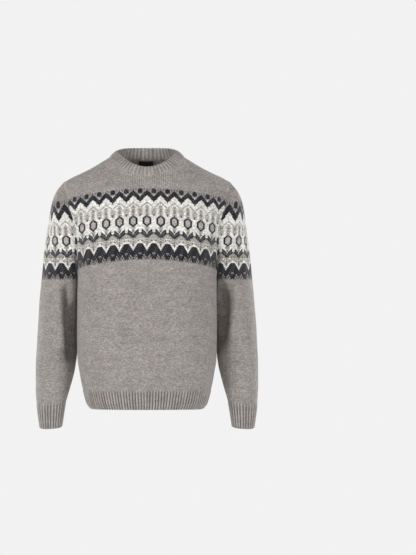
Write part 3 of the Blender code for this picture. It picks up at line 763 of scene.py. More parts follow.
@dataclass(frozen=True)
class KnitFinish:
    """Matt heathered wool yarn, knitted. The stitches follow the piece's own map."""

    name: str
    relief: float = 0.0006
    gap_shade: float = 0.74
    heather: float = 0.27
    single: float = 0.42
    cloudiness: float = 0.10
    fibre: float = 0.06
    leg_slant: float = -1.7

    def material(self) -> bpy.types.Material:
        """Builds the material."""
        board = NodeBoard(self.name)
        yarn = board.add("ShaderNodeAttribute", attribute_name="yarn")
        stitches = board.add("ShaderNodeUVMap", uv_map="knit")
        place = board.add("ShaderNodeTexCoord").outputs["Object"]
        parts = board.add("ShaderNodeSeparateXYZ")
        board.link(stitches.outputs[0], parts.inputs[0])
        across, up = parts.outputs[0], parts.outputs[1]

        # Two slanting legs make each stitch, and the next row sits in its fork.
        within = board.maths("SUBTRACT", board.maths("FRACT", across), 0.5)
        from_middle = board.maths("ABSOLUTE", within)
        leg = board.maths("FRACT", board.maths("MULTIPLY", across, 2.0))
        leg = board.maths("SINE", board.maths("MULTIPLY", leg, math.pi))
        slant = board.maths("MULTIPLY_ADD", from_middle, self.leg_slant, up)
        loop = board.maths("SINE", board.maths("MULTIPLY", board.maths("FRACT", slant), math.pi))
        loop = board.maths("POWER", loop, 0.55)
        height = board.maths("MULTIPLY", board.maths("POWER", leg, 0.6), loop)

        # Each stitch is a little lighter or darker than the next, as heathered yarn is, and painted
        # shade darkens the gaps between the stitch legs.
        cell = board.add("ShaderNodeVectorMath", operation="FLOOR")
        board.link(stitches.outputs[0], cell.inputs[0])
        chance = board.add("ShaderNodeTexWhiteNoise", noise_dimensions="2D")
        board.link(cell.outputs[0], chance.inputs["Vector"])
        stretched = board.add("ShaderNodeMapping")
        stretched.inputs["Scale"].default_value = (0.36, 0.36, 0.95)
        board.link(place, stretched.inputs["Vector"])
        streak = board.noise(stretched.outputs[0], 390.0, 3.0)
        fibre = board.noise(place, 1900.0, 2.0)
        cloud = board.noise(stretched.outputs[0], 75.0, 2.0)
        single = board.maths(
            "MULTIPLY_ADD", chance.outputs["Value"], self.single, 1.0 - self.single / 2
        )
        shade = board.product(
            board.spread(streak, self.heather),
            single,
            board.spread(fibre, self.fibre),
            board.spread(cloud, self.cloudiness),
            board.maths("MULTIPLY_ADD", height, 1.0 - self.gap_shade, self.gap_shade),
        )

        tint = board.add("ShaderNodeVectorMath", operation="SCALE")
        board.link(yarn.outputs["Color"], tint.inputs[0])
        board.link(shade, tint.inputs["Scale"])
        board.link(tint.outputs[0], board.shader.inputs["Base Color"])

        fuzz = board.maths("MULTIPLY_ADD", fibre, 0.25, height)
        return board.finish(
            fuzz, 0.7, self.relief, Roughness=0.93, Specular_IOR_Level=0.2, Sheen_Weight=0.25,
            Sheen_Roughness=0.55,
        )


@dataclass(frozen=True)
class TapeFinish:
    """Plain black woven label tape."""

    name: str = "plain_black_tape"
    thread: float = 0.00035

    def material(self) -> bpy.types.Material:
        """Builds the material."""
        board = NodeBoard(self.name)
        place = board.add("ShaderNodeTexCoord").outputs["Object"]
        parts = board.add("ShaderNodeSeparateXYZ")
        board.link(place, parts.inputs[0])
        waves = [
            board.maths("SINE", board.maths("MULTIPLY", parts.outputs[k], math.pi / self.thread))
            for k in (0, 2)
        ]
        weave = board.maths("MULTIPLY", waves[0], waves[1])
        worn = board.noise(place, 400.0)
        mix = board.add("ShaderNodeMix", data_type="RGBA")
        mix.inputs["A"].default_value = (0.006, 0.006, 0.007, 1)
        mix.inputs["B"].default_value = (0.022, 0.022, 0.024, 1)
        board.link(board.maths("MULTIPLY_ADD", weave, 0.3, worn), mix.inputs["Factor"])
        board.link(mix.outputs["Result"], board.shader.inputs["Base Color"])
        return board.finish(weave, 0.5, 0.0001, Roughness=0.62)


@dataclass(frozen=True)
class BackdropFinish:
    """Pale studio paper."""

    name: str = "studio_paper"

    def material(self) -> bpy.types.Material:
        """Builds the material."""
        board = NodeBoard(self.name)
        board.shader.inputs["Base Color"].default_value = (0.87, 0.87, 0.87, 1)
        board.shader.inputs["Roughness"].default_value = 0.9
        return board.material


def yarn_colour(yarn: Yarn) -> np.ndarray:
    """A yarn's colour in linear light."""
    level = np.array(YARN_SHADES[yarn], float) / 255
    return np.where(level <= 0.04045, level / 12.92, ((level + 0.055) / 1.055) ** 2.4)


@dataclass(frozen=True)
class BandChart:
    """The patterned band, row by row from its top edge."""

    rows: tuple[str, ...] = tuple(BAND_ROWS.split())
    repeat: int = 14

    def colours(self, row: np.ndarray, stitch: np.ndarray, shift: int) -> np.ndarray:
        """The yarn colour of each stitch of a piece.

        Args:
            row: each row's number from the band's top, negative above it.
            stitch: each column's number from the piece's centre line.
            shift: the stitch of the repeat that lies on the centre line.

        Returns:
            Rows by stitches of colours, ground outside the band.
        """
        half = self.repeat // 2
        place = np.abs((stitch + shift + half) % self.repeat - half)
        inside = (row >= 0) & (row < len(self.rows))
        table = np.array([list(line[::-1]) for line in self.rows])
        marks = np.full((len(row), len(stitch)), Yarn.GROUND.value)
        marks[inside] = table[row[inside]][:, place]

        # Every other stitch of the flecked yarn is light, and some charcoal ones are worn.
        down, over = row[:, None], stitch[None, :]
        flecks = (marks == Yarn.FLECKED.value) & ((down + over) % 2 == 0)
        worn = (marks == Yarn.CHARCOAL.value) & ((5 * down + 7 * over + down // 3) % 9 == 0)
        marks[flecks] = Yarn.LIGHT.value
        marks[worn] = Yarn.SMOKE.value
        found = np.zeros((*marks.shape, 3))
        for yarn in Yarn:
            found[marks == yarn.value] = yarn_colour(yarn)
        return found


@dataclass
class Cloth:
    """A grid of points on its way to become a piece of knitted cloth.

    colours has one entry for each face, the yarn colour with any painted shade multiplied in,
    across and up one for each line of the grid.
    """

    points: np.ndarray
    across: np.ndarray
    up: np.ndarray
    colours: np.ndarray
    closed_across: bool = False
    closed_up: bool = False
    keep: np.ndarray | None = None

    def mesh(self, name: str, turned: bool = False) -> bpy.types.Mesh:
        """Makes the mesh from a plain grid, moved into shape.

        Args:
            name: the mesh's name.
            turned: True where the grid faces inwards.

        Returns:
            The mesh, with its stitch map and its yarn colours, painted shade included.
        """
        rows, cols = self.points.shape[:2]
        wide = cols if self.closed_across else cols - 1
        tall = rows if self.closed_up else rows - 1
        bm = bmesh.new()
        bmesh.ops.create_grid(bm, x_segments=wide, y_segments=tall, size=1)
        stitches = bm.loops.layers.uv.new("knit")
        # The yarn colour layer also carries the painted shade that some pieces multiply in.
        yarn = bm.loops.layers.float_color.new("yarn")
        place = {
            vert: (round((vert.co.y + 1) / 2 * tall), round((vert.co.x + 1) / 2 * wide))
            for vert in bm.verts
        }
        doomed = []
        for face in bm.faces:
            corners = [place[loop.vert] for loop in face.loops]
            j = min(corner[0] for corner in corners)
            i = min(corner[1] for corner in corners)
            if self.keep is not None and not self.keep[j, i]:
                doomed.append(face)
                continue
            tint = (*self.colours[j % len(self.colours), i % self.colours.shape[1]], 1.0)
            for loop, (r, c) in zip(face.loops, corners):
                loop[stitches].uv = (self.across[c], self.up[r])
                loop[yarn] = tint
        for vert, (r, c) in place.items():
            vert.co = self.points[r % rows, c % cols]
        bmesh.ops.delete(bm, geom=doomed, context="FACES")
        bmesh.ops.remove_doubles(bm, verts=bm.verts, dist=SAME_PLACE)
        bmesh.ops.dissolve_degenerate(bm, edges=bm.edges, dist=SAME_PLACE)
        if turned:
            bmesh.ops.reverse_faces(bm, faces=bm.faces)
        for edge in bm.edges:
            edge.smooth = not edge.is_boundary
        mesh = bpy.data.meshes.new(name)
        bm.to_mesh(mesh)
        bm.free()
        mesh.shade_smooth()
        return mesh


def place_piece(
    name: str, mesh: bpy.types.Mesh, material: bpy.types.Material
) -> bpy.types.Object:
    """Puts a piece in the scene, on the garment's one body, for the node of its name.

    Args:
        name: the CAD node that it stands for.
        mesh: its shape.
        material: its finish.

    Returns:
        The piece.
    """
    piece = bpy.data.objects.new(name + "_knit", mesh)
    piece.data.materials.append(material)
    bpy.context.scene.collection.objects.link(piece)
    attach(piece, "root")
    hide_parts(name)
    LOG.info("%s: %d faces", piece.name, len(mesh.polygons))
    return piece


def thicken(piece: bpy.types.Object, thickness: float) -> None:
    """Gives a piece the thickness of its cloth, inwards."""
    wall = piece.modifiers.new("cloth_thickness", "SOLIDIFY")
    wall.thickness = thickness
    wall.offset = -1.0


def clear_scene() -> None:
    """Removes whatever the scene starts with."""
    for thing in list(bpy.data.objects):
        bpy.data.objects.remove(thing, do_unlink=True)


@dataclass
class BodyPanel:
    """The front or the back, knitted flat from the hem seam to neck and shoulders."""

    surface: BodySurface
    chart: BandChart
    drop_middle: float
    drop_side: float
    drop_power: float
    cut_share: float
    flat: tuple[float, float] = (0.53, 0.64)
    coarse: int = 4
    relief: Relief = Relief(seam_depth=0.0003, lie=0.0011)
    drop_reach: float = 0.2
    drop_fade: float = 0.30
    # The column settings place a painted highlight and shade on the stitch columns under the
    # collar.
    column_shade_strength: float = 0.36
    column_pitch: float = 2.26
    column_reach: float = 0.060
    column_fade: float = 0.012

    @property
    def name(self) -> str:
        """The node that the panel stands for."""
        return "front_body" if self.surface.side < 0 else "back_body"

    def drop(self, across: np.ndarray, row: np.ndarray) -> np.ndarray:
        """How far a row of stitches hangs below its own level.

        Args:
            across: distance from the centre line.
            row: the level it is knitted at.

        Returns:
            The drop, gone at the hem.
        """
        away = (np.abs(across) / self.drop_reach) ** self.drop_power
        fade = ease((row - (HEM_SEAM_HEIGHT + 0.02)) / self.drop_fade)
        return (self.drop_middle + self.drop_side * away) * fade

    def row_levels(self) -> tuple[np.ndarray, np.ndarray]:
        """The level of every line between rows, and each row's chart number."""
        step = self.coarse * ROW
        steps = round((BAND_BOTTOM - HEM_SEAM_HEIGHT) / step)
        low = np.linspace(HEM_SEAM_HEIGHT, BAND_BOTTOM, steps + 1)
        count = len(self.chart.rows)
        band = np.linspace(BAND_BOTTOM, BAND_TOP, count + 1)
        top = BAND_TOP + np.arange(1, 60) * 2 * ROW
        top = top[top < self.drop_middle + 0.016]
        levels = np.concatenate([low, band[1:], top])
        numbers = np.full(len(levels) - 1, -1)
        numbers[len(low) - 1 : len(low) - 1 + count] = np.arange(count)[::-1]
        return levels, numbers

    def top_line(self) -> tuple[np.ndarray, np.ndarray]:
        """The neckline and the shoulder seam, as distances across and heights."""
        x = NECK_HALF_WIDTH * np.sin(np.linspace(0, math.pi / 2, 60))
        z = neck_height(x, self.surface.side)
        neck = self.surface.across_of(x, z)
        slope = np.linspace(0, SHOULDER_HEIGHT, 80)[1:]
        across = np.concatenate([neck, self.surface.half_length(slope)])
        return across, np.concatenate([z, slope])

    def side_line(self, height: np.ndarray) -> np.ndarray:
        """Distance from the centre line to the side seam or the armhole."""
        levels = np.linspace(UNDERARM_HEIGHT, SHOULDER_HEIGHT, 120)
        armhole = self.surface.across_of(armhole_width(levels), levels)
        at_armhole = np.interp(height, levels, armhole)
        return np.where(height > UNDERARM_HEIGHT, at_armhole, self.surface.half_length(height))

    def cloth(self) -> Cloth:
        """Lays the rows and the columns of stitches on the surface."""
        levels, numbers = self.row_levels()
        widest = self.surface.half_length(np.linspace(HEM_SEAM_HEIGHT, SHOULDER_HEIGHT, 80)).max()
        half = math.ceil(widest / STITCH)
        stitch = np.arange(-half, half + 1)
        lines = (np.arange(-half, half + 2) - 0.5) * STITCH
        top = self.top_line()
        row = levels[:, None] + np.zeros(len(lines))
        wanted = lines[None, :] + np.zeros((len(levels), 1))
        q = wanted.copy()
        for _ in range(8):
            z = row - self.drop(q, row)
            z = np.minimum(z, np.interp(np.abs(q), *top))
            edge = self.side_line(z)
            q = np.clip(wanted, -edge, edge)
        z[0] = HEM_SEAM_HEIGHT
        rise = self.rise(q, z, row, top)[..., None]
        points = self.surface.points(q, z) + self.surface.normals(q, z) * rise
        # The yarn colours are multiplied by the painted column shade under the collar.
        shades = self.columns(levels, stitch)[..., None]
        return Cloth(
            points=points,
            across=np.arange(len(lines), dtype=float),
            up=(levels - BAND_BOTTOM) / ROW,
            colours=self.chart.colours(numbers, stitch, 0) * shades,
            keep=has_area(points),
        )

    def columns(self, levels: np.ndarray, stitch: np.ndarray) -> np.ndarray:
        """Painted highlight and shade on the stitch columns where the front's cloth runs out of the
        collar.

        Args:
            levels: the level of every line between rows.
            stitch: each column's number from the centre line.

        Returns:
            A painted shade for each stitch, 1 where the cloth is even.
        """
        if self.surface.side > 0:
            return np.ones((len(levels) - 1, len(stitch)))
        level = (levels[:-1] + levels[1:])[:, None] / 2
        near = np.exp(-((stitch[None, :] * STITCH / self.column_reach) ** 4))
        fade = ease((level - BAND_TOP) / self.column_fade) * near
        wave = np.cos(2 * math.pi * stitch / self.column_pitch)[None, :]
        return 1 + self.column_shade_strength * fade * wave

    def rise(
        self, q: np.ndarray, z: np.ndarray, row: np.ndarray, top: tuple[np.ndarray, np.ndarray]
    ) -> np.ndarray:
        """How far the cloth stands off its plain form at each point.

        Args:
            q: distances across.
            z: heights.
            row: levels in the knitting.
            top: the top edge's distances across and its heights.

        Returns:
            The rises: the thicker band, the tuck under it, the seams and a soft lie.
        """
        to_side = self.side_line(z) - np.abs(q)
        to_top = np.interp(np.abs(q), *top) - z
        to_hem = z - HEM_SEAM_HEIGHT
        near = np.minimum(np.minimum(to_side, to_top), to_hem)
        waves = waviness(q, z, 1.0 + self.surface.side)
        band = self.relief.band(row, BAND_BOTTOM, BAND_TOP)
        return self.relief.seam(near) + band + self.relief.soft(waves, near)

    def build(self, finish: bpy.types.Material) -> bpy.types.Object:
        """Makes the panel."""
        mesh = self.cloth().mesh(self.name, turned=self.surface.side > 0)
        piece = place_piece(self.name, mesh, finish)
        thicken(piece, WALL)
        return piece


@dataclass
class Sleeve:
    """A set-in sleeve, knitted down from the armhole to the cuff seam."""

    surface: SleeveSurface
    chart: BandChart
    flat: tuple[float, float] = (0.44, 0.585)
    middle_row: int = 40
    middle_level: float = -0.2246
    middle_stretch: float = 1.04
    upper_stretch: float = 1.52
    upper_rows: int = 16
    middle_x: float = 0.2335
    lean: float = 0.057
    lean_below: float = -0.290
    lean_fade: float = 0.12
    most_taken_in: float = 0.6
    lowest_row: float = -0.645
    last_line: float = -0.66
    length: float = 0.58
    half_width: float = 0.065
    coarse: int = 4
    relief: Relief = Relief(seam_depth=0.0004, lie=0.0010)

    @property
    def name(self) -> str:
        """The node that the sleeve stands for."""
        return "sleeve_left" if self.surface.mirror > 0 else "sleeve_right"

    def row_levels(self) -> tuple[np.ndarray, np.ndarray]:
        """The level of every line between rows, and each row's chart number."""
        count = len(self.chart.rows)
        line = np.arange(count + 1)
        heights = np.where(line < self.upper_rows, self.upper_stretch, self.middle_stretch)
        heights[line > self.middle_row] = 1.0
        run = np.concatenate([[0], np.cumsum(heights[:-1])])
        band = self.middle_level + (run[self.middle_row] + 0.5 - run) * ROW
        top = np.linspace(SHOULDER_HEIGHT + 0.001, band[0], 10)[:-1]
        steps = round((band[-1] - self.lowest_row) / (self.coarse * ROW))
        low = np.linspace(band[-1], self.lowest_row, steps + 1)
        levels = np.concatenate([top, band, low[1:]])
        numbers = np.full(len(levels), -1)
        numbers[len(top) : len(top) + count] = np.arange(count)
        return levels, numbers

    @staticmethod
    def meeting(line: np.ndarray, run: np.ndarray, x: float, part: float) -> float:
        """How far round half a cut its middle column lies.

        Args:
            line: the half cut's points, from the body outward.
            run: the distance round at each.
            x: where a straight middle column would stand.
            part: 0 for that column, 1 for the half cut's own middle.

        Returns:
            The distance round.
        """
        across = np.maximum.accumulate(np.abs(line[:, 0]))
        own = (across[0] + across[-1]) / 2
        return float(np.interp(x * (1 - part) + own * part, across, run))

    def slices(self, levels: np.ndarray) -> tuple[list, np.ndarray, float, np.ndarray]:
        """Level cuts through the sleeve, from its underarm or armhole round to the back.

        Args:
            levels: the heights to cut at.

        Returns:
            For each level its turns, its shares of the length and the distances round.
            Then the front's middle column at each level, as a distance round, and how
            far the back's lies beyond it at the medallions. Last, how much less than
            that it is at each level, which the columns between them take in.
        """
        fine = np.linspace(0, 2 * math.pi, 361)
        share = np.linspace(0, 1, 320)
        heights = self.surface.points(share[None, :], fine[:, None])[..., 2]
        heights = np.minimum.accumulate(heights, axis=1)
        found = []
        middles = []
        spans = []
        parts = []
        for level in levels:
            along = np.array([np.interp(-level, -line, share) for line in heights])
            part = (level - UNDERARM_HEIGHT) / (SHOULDER_HEIGHT - UNDERARM_HEIGHT)
            part = np.clip(part, 0, 0.9999)
            start = math.acos(1 - 2 * part)
            turn = np.linspace(start, 2 * math.pi - start, 700)
            along = np.interp(turn, fine, along)
            if part > 0:
                along[0] = along[-1] = 0.0
            line = self.surface.points(along, turn)
            run = distance_along(line)
            found.append((turn, along, run))
            ahead = turn < math.pi
            straight = self.middle_x + self.lean * (level - self.middle_level)
            parts.append(float(ease((self.lean_below - level) / self.lean_fade)))
            middles.append(self.meeting(line[ahead], run[ahead], straight, parts[-1]))
            rest = (run[-1] - run[~ahead])[::-1]
            back = run[-1] - self.meeting(line[~ahead][::-1], rest, straight, parts[-1])
            spans.append(back - middles[-1])
        widest = float(np.interp(-self.middle_level, -levels, spans))
        missing = (widest - np.array(spans)) * (1 - np.array(parts))
        missing = np.minimum(missing, self.most_taken_in * widest)
        return found, np.array(middles), widest, missing

    def cloth(self) -> Cloth:
        """Lays the rows and the columns of stitches on the surface."""
        levels, numbers = self.row_levels()
        cuts, middles, span, missing = self.slices(levels)
        before = math.ceil(max(middles) / STITCH) + 1
        whole = np.array([run[-1] for _, _, run in cuts])
        after = math.ceil(max(whole - middles + np.maximum(missing, 0)) / STITCH) + 1
        stitch = np.arange(-before, after)
        lines = np.arange(-before, after + 1) - 0.5
        along = np.ones((len(levels) + 1, len(lines)))
        turn = np.zeros_like(along)
        for k, ((turns, shares, run), middle) in enumerate(zip(cuts, middles)):
            taken_in = missing[k] * ease(lines * STITCH / span)
            want = np.clip(middle + lines * STITCH - taken_in, 0, run[-1])
            turn[k] = np.interp(want, run, turns)
            along[k] = np.interp(want, run, shares)
        turn[-1] = turn[-2]
        points = self.surface.points(along, turn)
        row = np.append(levels, self.last_line)[:, None]
        rise = self.rise(along, points, turn, row)[..., None]
        points = points + self.surface.normals(along, turn) * rise
        count = len(self.chart.rows)
        first = int(np.argmax(numbers == 0))
        band_top, band_bottom = levels[first], levels[first + count]
        above = (row[:, 0] - band_top) / (ROW * self.upper_stretch)
        up = np.where(row[:, 0] > band_top, above, -count - (band_bottom - row[:, 0]) / ROW)
        up[first : first + count + 1] = -np.arange(count + 1)
        LOG.info("%s: %d stitches across, %d rows", self.name, len(stitch), len(levels))
        return Cloth(
            points=points,
            across=np.arange(len(lines), dtype=float),
            up=up,
            colours=self.chart.colours(numbers, stitch, 7),
            keep=has_area(points),
        )

    def rise(
        self, along: np.ndarray, points: np.ndarray, turn: np.ndarray, row: np.ndarray
    ) -> np.ndarray:
        """How far the cloth stands off its plain form at each point.

        Args:
            along: shares of the sleeve's length.
            points: where the points are.
            turn: turns about the sleeve.
            row: levels in the knitting.

        Returns:
            The rises: the thicker band, the seams and a soft lie.
        """
        near = np.minimum(along * self.length, (1 - along) * self.length)
        levels, numbers = self.row_levels()
        top = levels[int(np.argmax(numbers == 0))]
        bottom = self.middle_level - (len(self.chart.rows) - self.middle_row - 0.5) * ROW
        band = self.relief.band(row, bottom, top) * ease(near / 0.01)
        seed = 5.0 + self.surface.mirror
        waves = waviness(turn * self.half_width, points[..., 2], seed)
        return self.relief.seam(near) + band + self.relief.soft(waves, near)

    def build(self, finish: bpy.types.Material) -> bpy.types.Object:
        """Makes the sleeve."""
        mesh = self.cloth().mesh(self.name, turned=self.surface.mirror > 0)
        piece = place_piece(self.name, mesh, finish)
        thicken(piece, WALL)
        return piece


@dataclass
class RibBand:
    """A closed band of knitted rib, its ridges raised on both faces.

    path gives the band's middle form: for shares of its depth from the seam, and
    shares round it, one point each.
    """

    name: str
    path: Callable[[np.ndarray, np.ndarray], np.ndarray]
    ribs: int
    flat: tuple[float, float]
    rows: int = 12
    per_rib: int = 8
    raised: float = 0.0010
    groove: float = 0.0021
    groove_width: float = 0.17
    inner_groove: float = 0.0009
    settled: float = 0.12
    flush: float = 0.08
    tongue: float = 0.0014
    # The next two are the painted shade in the outer and inner grooves.
    shadow: float = 0.20
    inside_shadow: float = 0.5
    # A painted light level for the inside faces, scaling their colour.
    inside_painted_light: float = 1.0
    plain_light: float = 0.86
    soft_front: float = 0.0
    soft_width: float = 0.045
    held: str = "stretched"
    edge_steps: tuple[float, ...] = (30.0, 65.0, 90.0, 115.0, 150.0)
    colour: np.ndarray = field(default_factory=lambda: yarn_colour(Yarn.GROUND) * 1.10)

    def ridge(self, round_share: np.ndarray, shift: float) -> np.ndarray:
        """The rib's profile round the band, 0 in a groove and 1 on a ridge."""
        part = np.mod(round_share * self.ribs + shift, 1.0)
        near = np.minimum(part, 1 - part)
        return (1 - bell(near, self.groove_width)) * (0.86 + 0.14 * np.sin(math.pi * part))

    def outward(self, middle: np.ndarray) -> np.ndarray:
        """The direction away from the band's inside at each point of its middle form."""
        sideways = np.roll(middle, -1, axis=1) - np.roll(middle, 1, axis=1)
        out = unit(np.cross(sideways, np.gradient(middle, axis=0)))
        away = (middle - middle.mean(axis=(0, 1))) * np.array([1, 1, 0])
        return out * np.sign(np.sum(out * away))

    def faces(
        self, middle: np.ndarray, depth: np.ndarray, round_share: np.ndarray, soft: np.ndarray
    ) -> tuple[np.ndarray, np.ndarray]:
        """The band's outer and inner face, with ridges and grooves.

        Args:
            middle: its middle form.
            depth: shares of its depth from the seam.
            round_share: shares round it.
            soft: how far the ribs fade, for each of those.

        Returns:
            Two grids of points.
        """
        settle = (0.55 + 0.45 * ease(depth / self.settled))[:, None] * (1 - soft)
        uneven = 1 + 0.10 * np.sin(round_share * self.ribs * 2.4)[None, :] * np.ones_like(settle)
        groove = self.groove * (1 - self.ridge(round_share, 0.0))[None, :] * settle
        lift = (self.raised - groove) * uneven * ease(depth / self.flush)[:, None]
        sink = WALL - self.inner_groove * (1 - self.ridge(round_share, 0.5))[None, :] * settle
        out = self.outward(middle)
        return middle + out * lift[..., None], middle - out * sink[..., None]

    def painted_groove_shade(self, round_share: np.ndarray, shift: float, darkest: float) -> np.ndarray:
        """Painted shade between this place and the next, down to the darkest in a groove and
        lighter on a ridge.
        """
        ridge = self.ridge(round_share, shift)
        return darkest + (1 - darkest) * (ridge + np.roll(ridge, -1)) / 2

    def shades(
        self, depth: np.ndarray, round_share: np.ndarray, soft: np.ndarray, count: int
    ) -> np.ndarray:
        """Painted shade on each face of the skin, darker in the grooves, with each rib a little
        lighter or darker.

        Args:
            depth: shares of the depth from the seam.
            round_share: shares round the band.
            soft: how far the ribs fade, for each of those.
            count: the lines of the whole skin.

        Returns:
            Lines by places round.
        """
        # Painted shade in the grooves, softened with the ribs at the front, and painted light on
        # the inside faces.
        outer = self.painted_groove_shade(round_share, 0.0, self.shadow)
        outer = outer + (1 - outer) * soft
        inner = self.painted_groove_shade(round_share, 0.5, self.inside_shadow) * self.inside_painted_light
        ahead = len(depth) + 3
        shade = np.array([outer] * ahead + [inner] * (count - ahead))
        ribbed = [[0, 0.25], ease(depth[1:] / self.settled), np.ones(count - len(depth) - 1)]
        start = np.concatenate(ribbed)[:, None]
        shade = self.plain_light * (1 - start) + shade * start
        number = np.floor(round_share * self.ribs)
        uneven = 1 + 0.07 * np.sin(2.3 * number) + 0.05 * np.sin(5.1 * number + 1)
        return shade * uneven[None, :]

    def cloth(self) -> Cloth:
        """Wraps one skin round the band: up the outside, over the edge and down inside."""
        count = self.ribs * self.per_rib
        round_share = np.arange(count) / count
        depth = np.linspace(0, 1, self.rows + 1)
        middle = self.path(depth[:, None], round_share[None, :])
        rim = middle[-1]
        soft = self.soft_front * bell(rim[:, 0], self.soft_width) * (rim[:, 1] < 0)
        outside, inside = self.faces(middle, depth, round_share, soft)
        along = np.gradient(middle, axis=0)
        half = (outside[-1] - inside[-1]) / 2
        heart = (outside[-1] + inside[-1]) / 2
        reach = unit(along[-1]) * np.linalg.norm(half, axis=1, keepdims=True)
        edge = [
            heart + half * math.cos(turn) + reach * math.sin(turn)
            for turn in map(math.radians, self.edge_steps)
        ]
        tongue = (outside[0] + inside[0]) / 2 - unit(along[0]) * self.tongue
        points = np.concatenate([[tongue], outside, edge, inside[::-1]])
        length = np.linalg.norm(middle[-1, 0] - middle[0, 0])
        over_edge = np.full(len(edge), length)
        up = np.concatenate([[0.0], depth * length, over_edge, depth[::-1] * length, [0.0]])
        # The band's yarn colour is multiplied by its painted groove shade.
        shade = self.shades(depth, round_share, soft, len(points))
        return Cloth(
            points=points,
            across=np.arange(count + 1) / self.per_rib * 3.0,
            up=up / ROW,
            colours=shade[..., None] * self.colour,
            closed_across=True,
            closed_up=True,
        )

    def build(self, finish: bpy.types.Material) -> bpy.types.Object:
        """Makes the band."""
        mesh = self.cloth().mesh(self.name)
        bm = bmesh.new()
        bm.from_mesh(mesh)
        bmesh.ops.recalc_face_normals(bm, faces=bm.faces)
        bm.to_mesh(mesh)
        bm.free()
        piece = place_piece(self.name, mesh, finish)
        return piece


@dataclass
class Collar:
    """The neck rib, from the neckline seam up to its open edge."""

    front: BodySurface
    back: BodySurface
    half_width: float = 0.083
    front_depth: float = 0.067
    back_depth: float = 0.055
    front_height: float = -0.028
    side_height: float = 0.016
    back_height: float = 0.0245
    roll: float = 0.0006
    side_roll: float = 0.0003
    crowding: float = 0.24

    def seam(self) -> np.ndarray:
        """The neckline, once round from the centre front by way of +X, evenly."""
        turn = np.linspace(0, 2 * math.pi, 241)
        x = NECK_HALF_WIDTH * np.sin(turn)
        ahead = np.cos(turn) > 0
        z = np.where(ahead, neck_height(x, -1), neck_height(x, 1))
        line = np.zeros((241, 3))
        for side, surface in ((True, self.front), (False, self.back)):
            pick = ahead == side
            line[pick] = surface.points(surface.across_of(x[pick], z[pick]), z[pick])
        return line

    def edge(self, turn: np.ndarray) -> np.ndarray:
        """The collar's top edge, turn 0 at the centre front."""
        ahead = np.cos(turn) > 0
        depth = np.where(ahead, self.front_depth, self.back_depth)
        rise = np.where(
            ahead,
            self.front_height + (self.side_height - self.front_height) * np.sin(turn) ** 2,
            self.side_height + (self.back_height - self.side_height) * (1 - np.sin(turn) ** 6),
        )
        return np.stack([self.half_width * np.sin(turn), -depth * np.cos(turn), rise], axis=-1)

    def path(self, depth: np.ndarray, round_share: np.ndarray) -> np.ndarray:
        """The band's form, for RibBand."""
        line = self.seam()
        run = distance_along(line)
        share = round_share[0]
        crowded = share + self.crowding * np.sin(4 * math.pi * share) / (4 * math.pi)
        want = crowded * run[-1]
        low = np.stack([np.interp(want, run, line[:, k]) for k in range(3)], axis=-1)
        turn = np.arctan2(low[:, 0] / NECK_HALF_WIDTH, -low[:, 1] / 0.07)
        top = self.edge(turn)
        around = unit(np.roll(top, -1, axis=0) - np.roll(top, 1, axis=0))
        out = unit(np.cross(around, top - low))
        out = out * np.sign(np.sum(out * top * np.array([1, 1, 0]), axis=1, keepdims=True))
        middle = (low + top) / 2 + out * (self.roll + self.side_roll * np.sin(turn)[:, None] ** 8)
        t = depth[..., None]
        return low * (1 - t) * (1 - 2 * t) + middle * 4 * t * (1 - t) + top * t * (2 * t - 1)

    def build(self, finish: bpy.types.Material) -> bpy.types.Object:
        """Makes the collar."""
        band = RibBand(
            "neck_rib", self.path, ribs=62, flat=(0.54, 0.0315), rows=10, per_rib=10, raised=0.0008,
            groove=0.0016, inside_painted_light=0.97, soft_front=0.5,
        )
        return band.build(finish)


@dataclass
class HemRib:
    """The hem rib, which draws the body in."""

    front: BodySurface
    back: BodySurface
    side_rise: float = 0.0050

    def path(self, depth: np.ndarray, round_share: np.ndarray) -> np.ndarray:
        """The band's form, for RibBand."""
        height = HEM_SEAM_HEIGHT + (HEM_HEIGHT - HEM_SEAM_HEIGHT) * depth + 0 * round_share
        place = 2 * round_share + 0 * depth
        ahead = self.front.points(self.front.half_length(height) * (2 * place - 1), height)
        behind = self.back.points(self.back.half_length(height) * (3 - 2 * place), height)
        found = np.where((place <= 1)[..., None], ahead, behind)
        to_side = np.abs(np.mod(place, 1.0) * 2 - 1) ** 9
        found[..., 2] += self.side_rise * to_side * depth**2
        return found

    def build(self, finish: bpy.types.Material) -> bpy.types.Object:
        """Makes the hem."""
        return RibBand("hem_rib", self.path, ribs=116, flat=(0.95, 0.056), rows=14).build(finish)


@dataclass
class CuffRib:
    """A sleeve's rib cuff."""

    surface: SleeveSurface
    side_rise: float = 0.0042

    def path(self, depth: np.ndarray, round_share: np.ndarray) -> np.ndarray:
        """The band's form, for RibBand."""
        fine = np.linspace(0, 2 * math.pi, 721)
        ring = self.surface.points(np.full(721, 1.08), fine)
        run = distance_along(ring)
        turn = np.interp(round_share * run[-1], run, fine)
        found = self.surface.points(1.0 + 0.2 * depth + 0 * turn, turn + 0 * depth)
        found[..., 2] += self.side_rise * np.abs(np.cos(turn)) ** 5 * depth**2
        return found

    def build(self, finish: bpy.types.Material) -> bpy.types.Object:
        """Makes the cuff."""
        name = "cuff_left" if self.surface.mirror > 0 else "cuff_right"
        band = RibBand(name, self.path, ribs=28, flat=(0.235, 0.072), rows=16, per_rib=10)
        return band.build(finish)


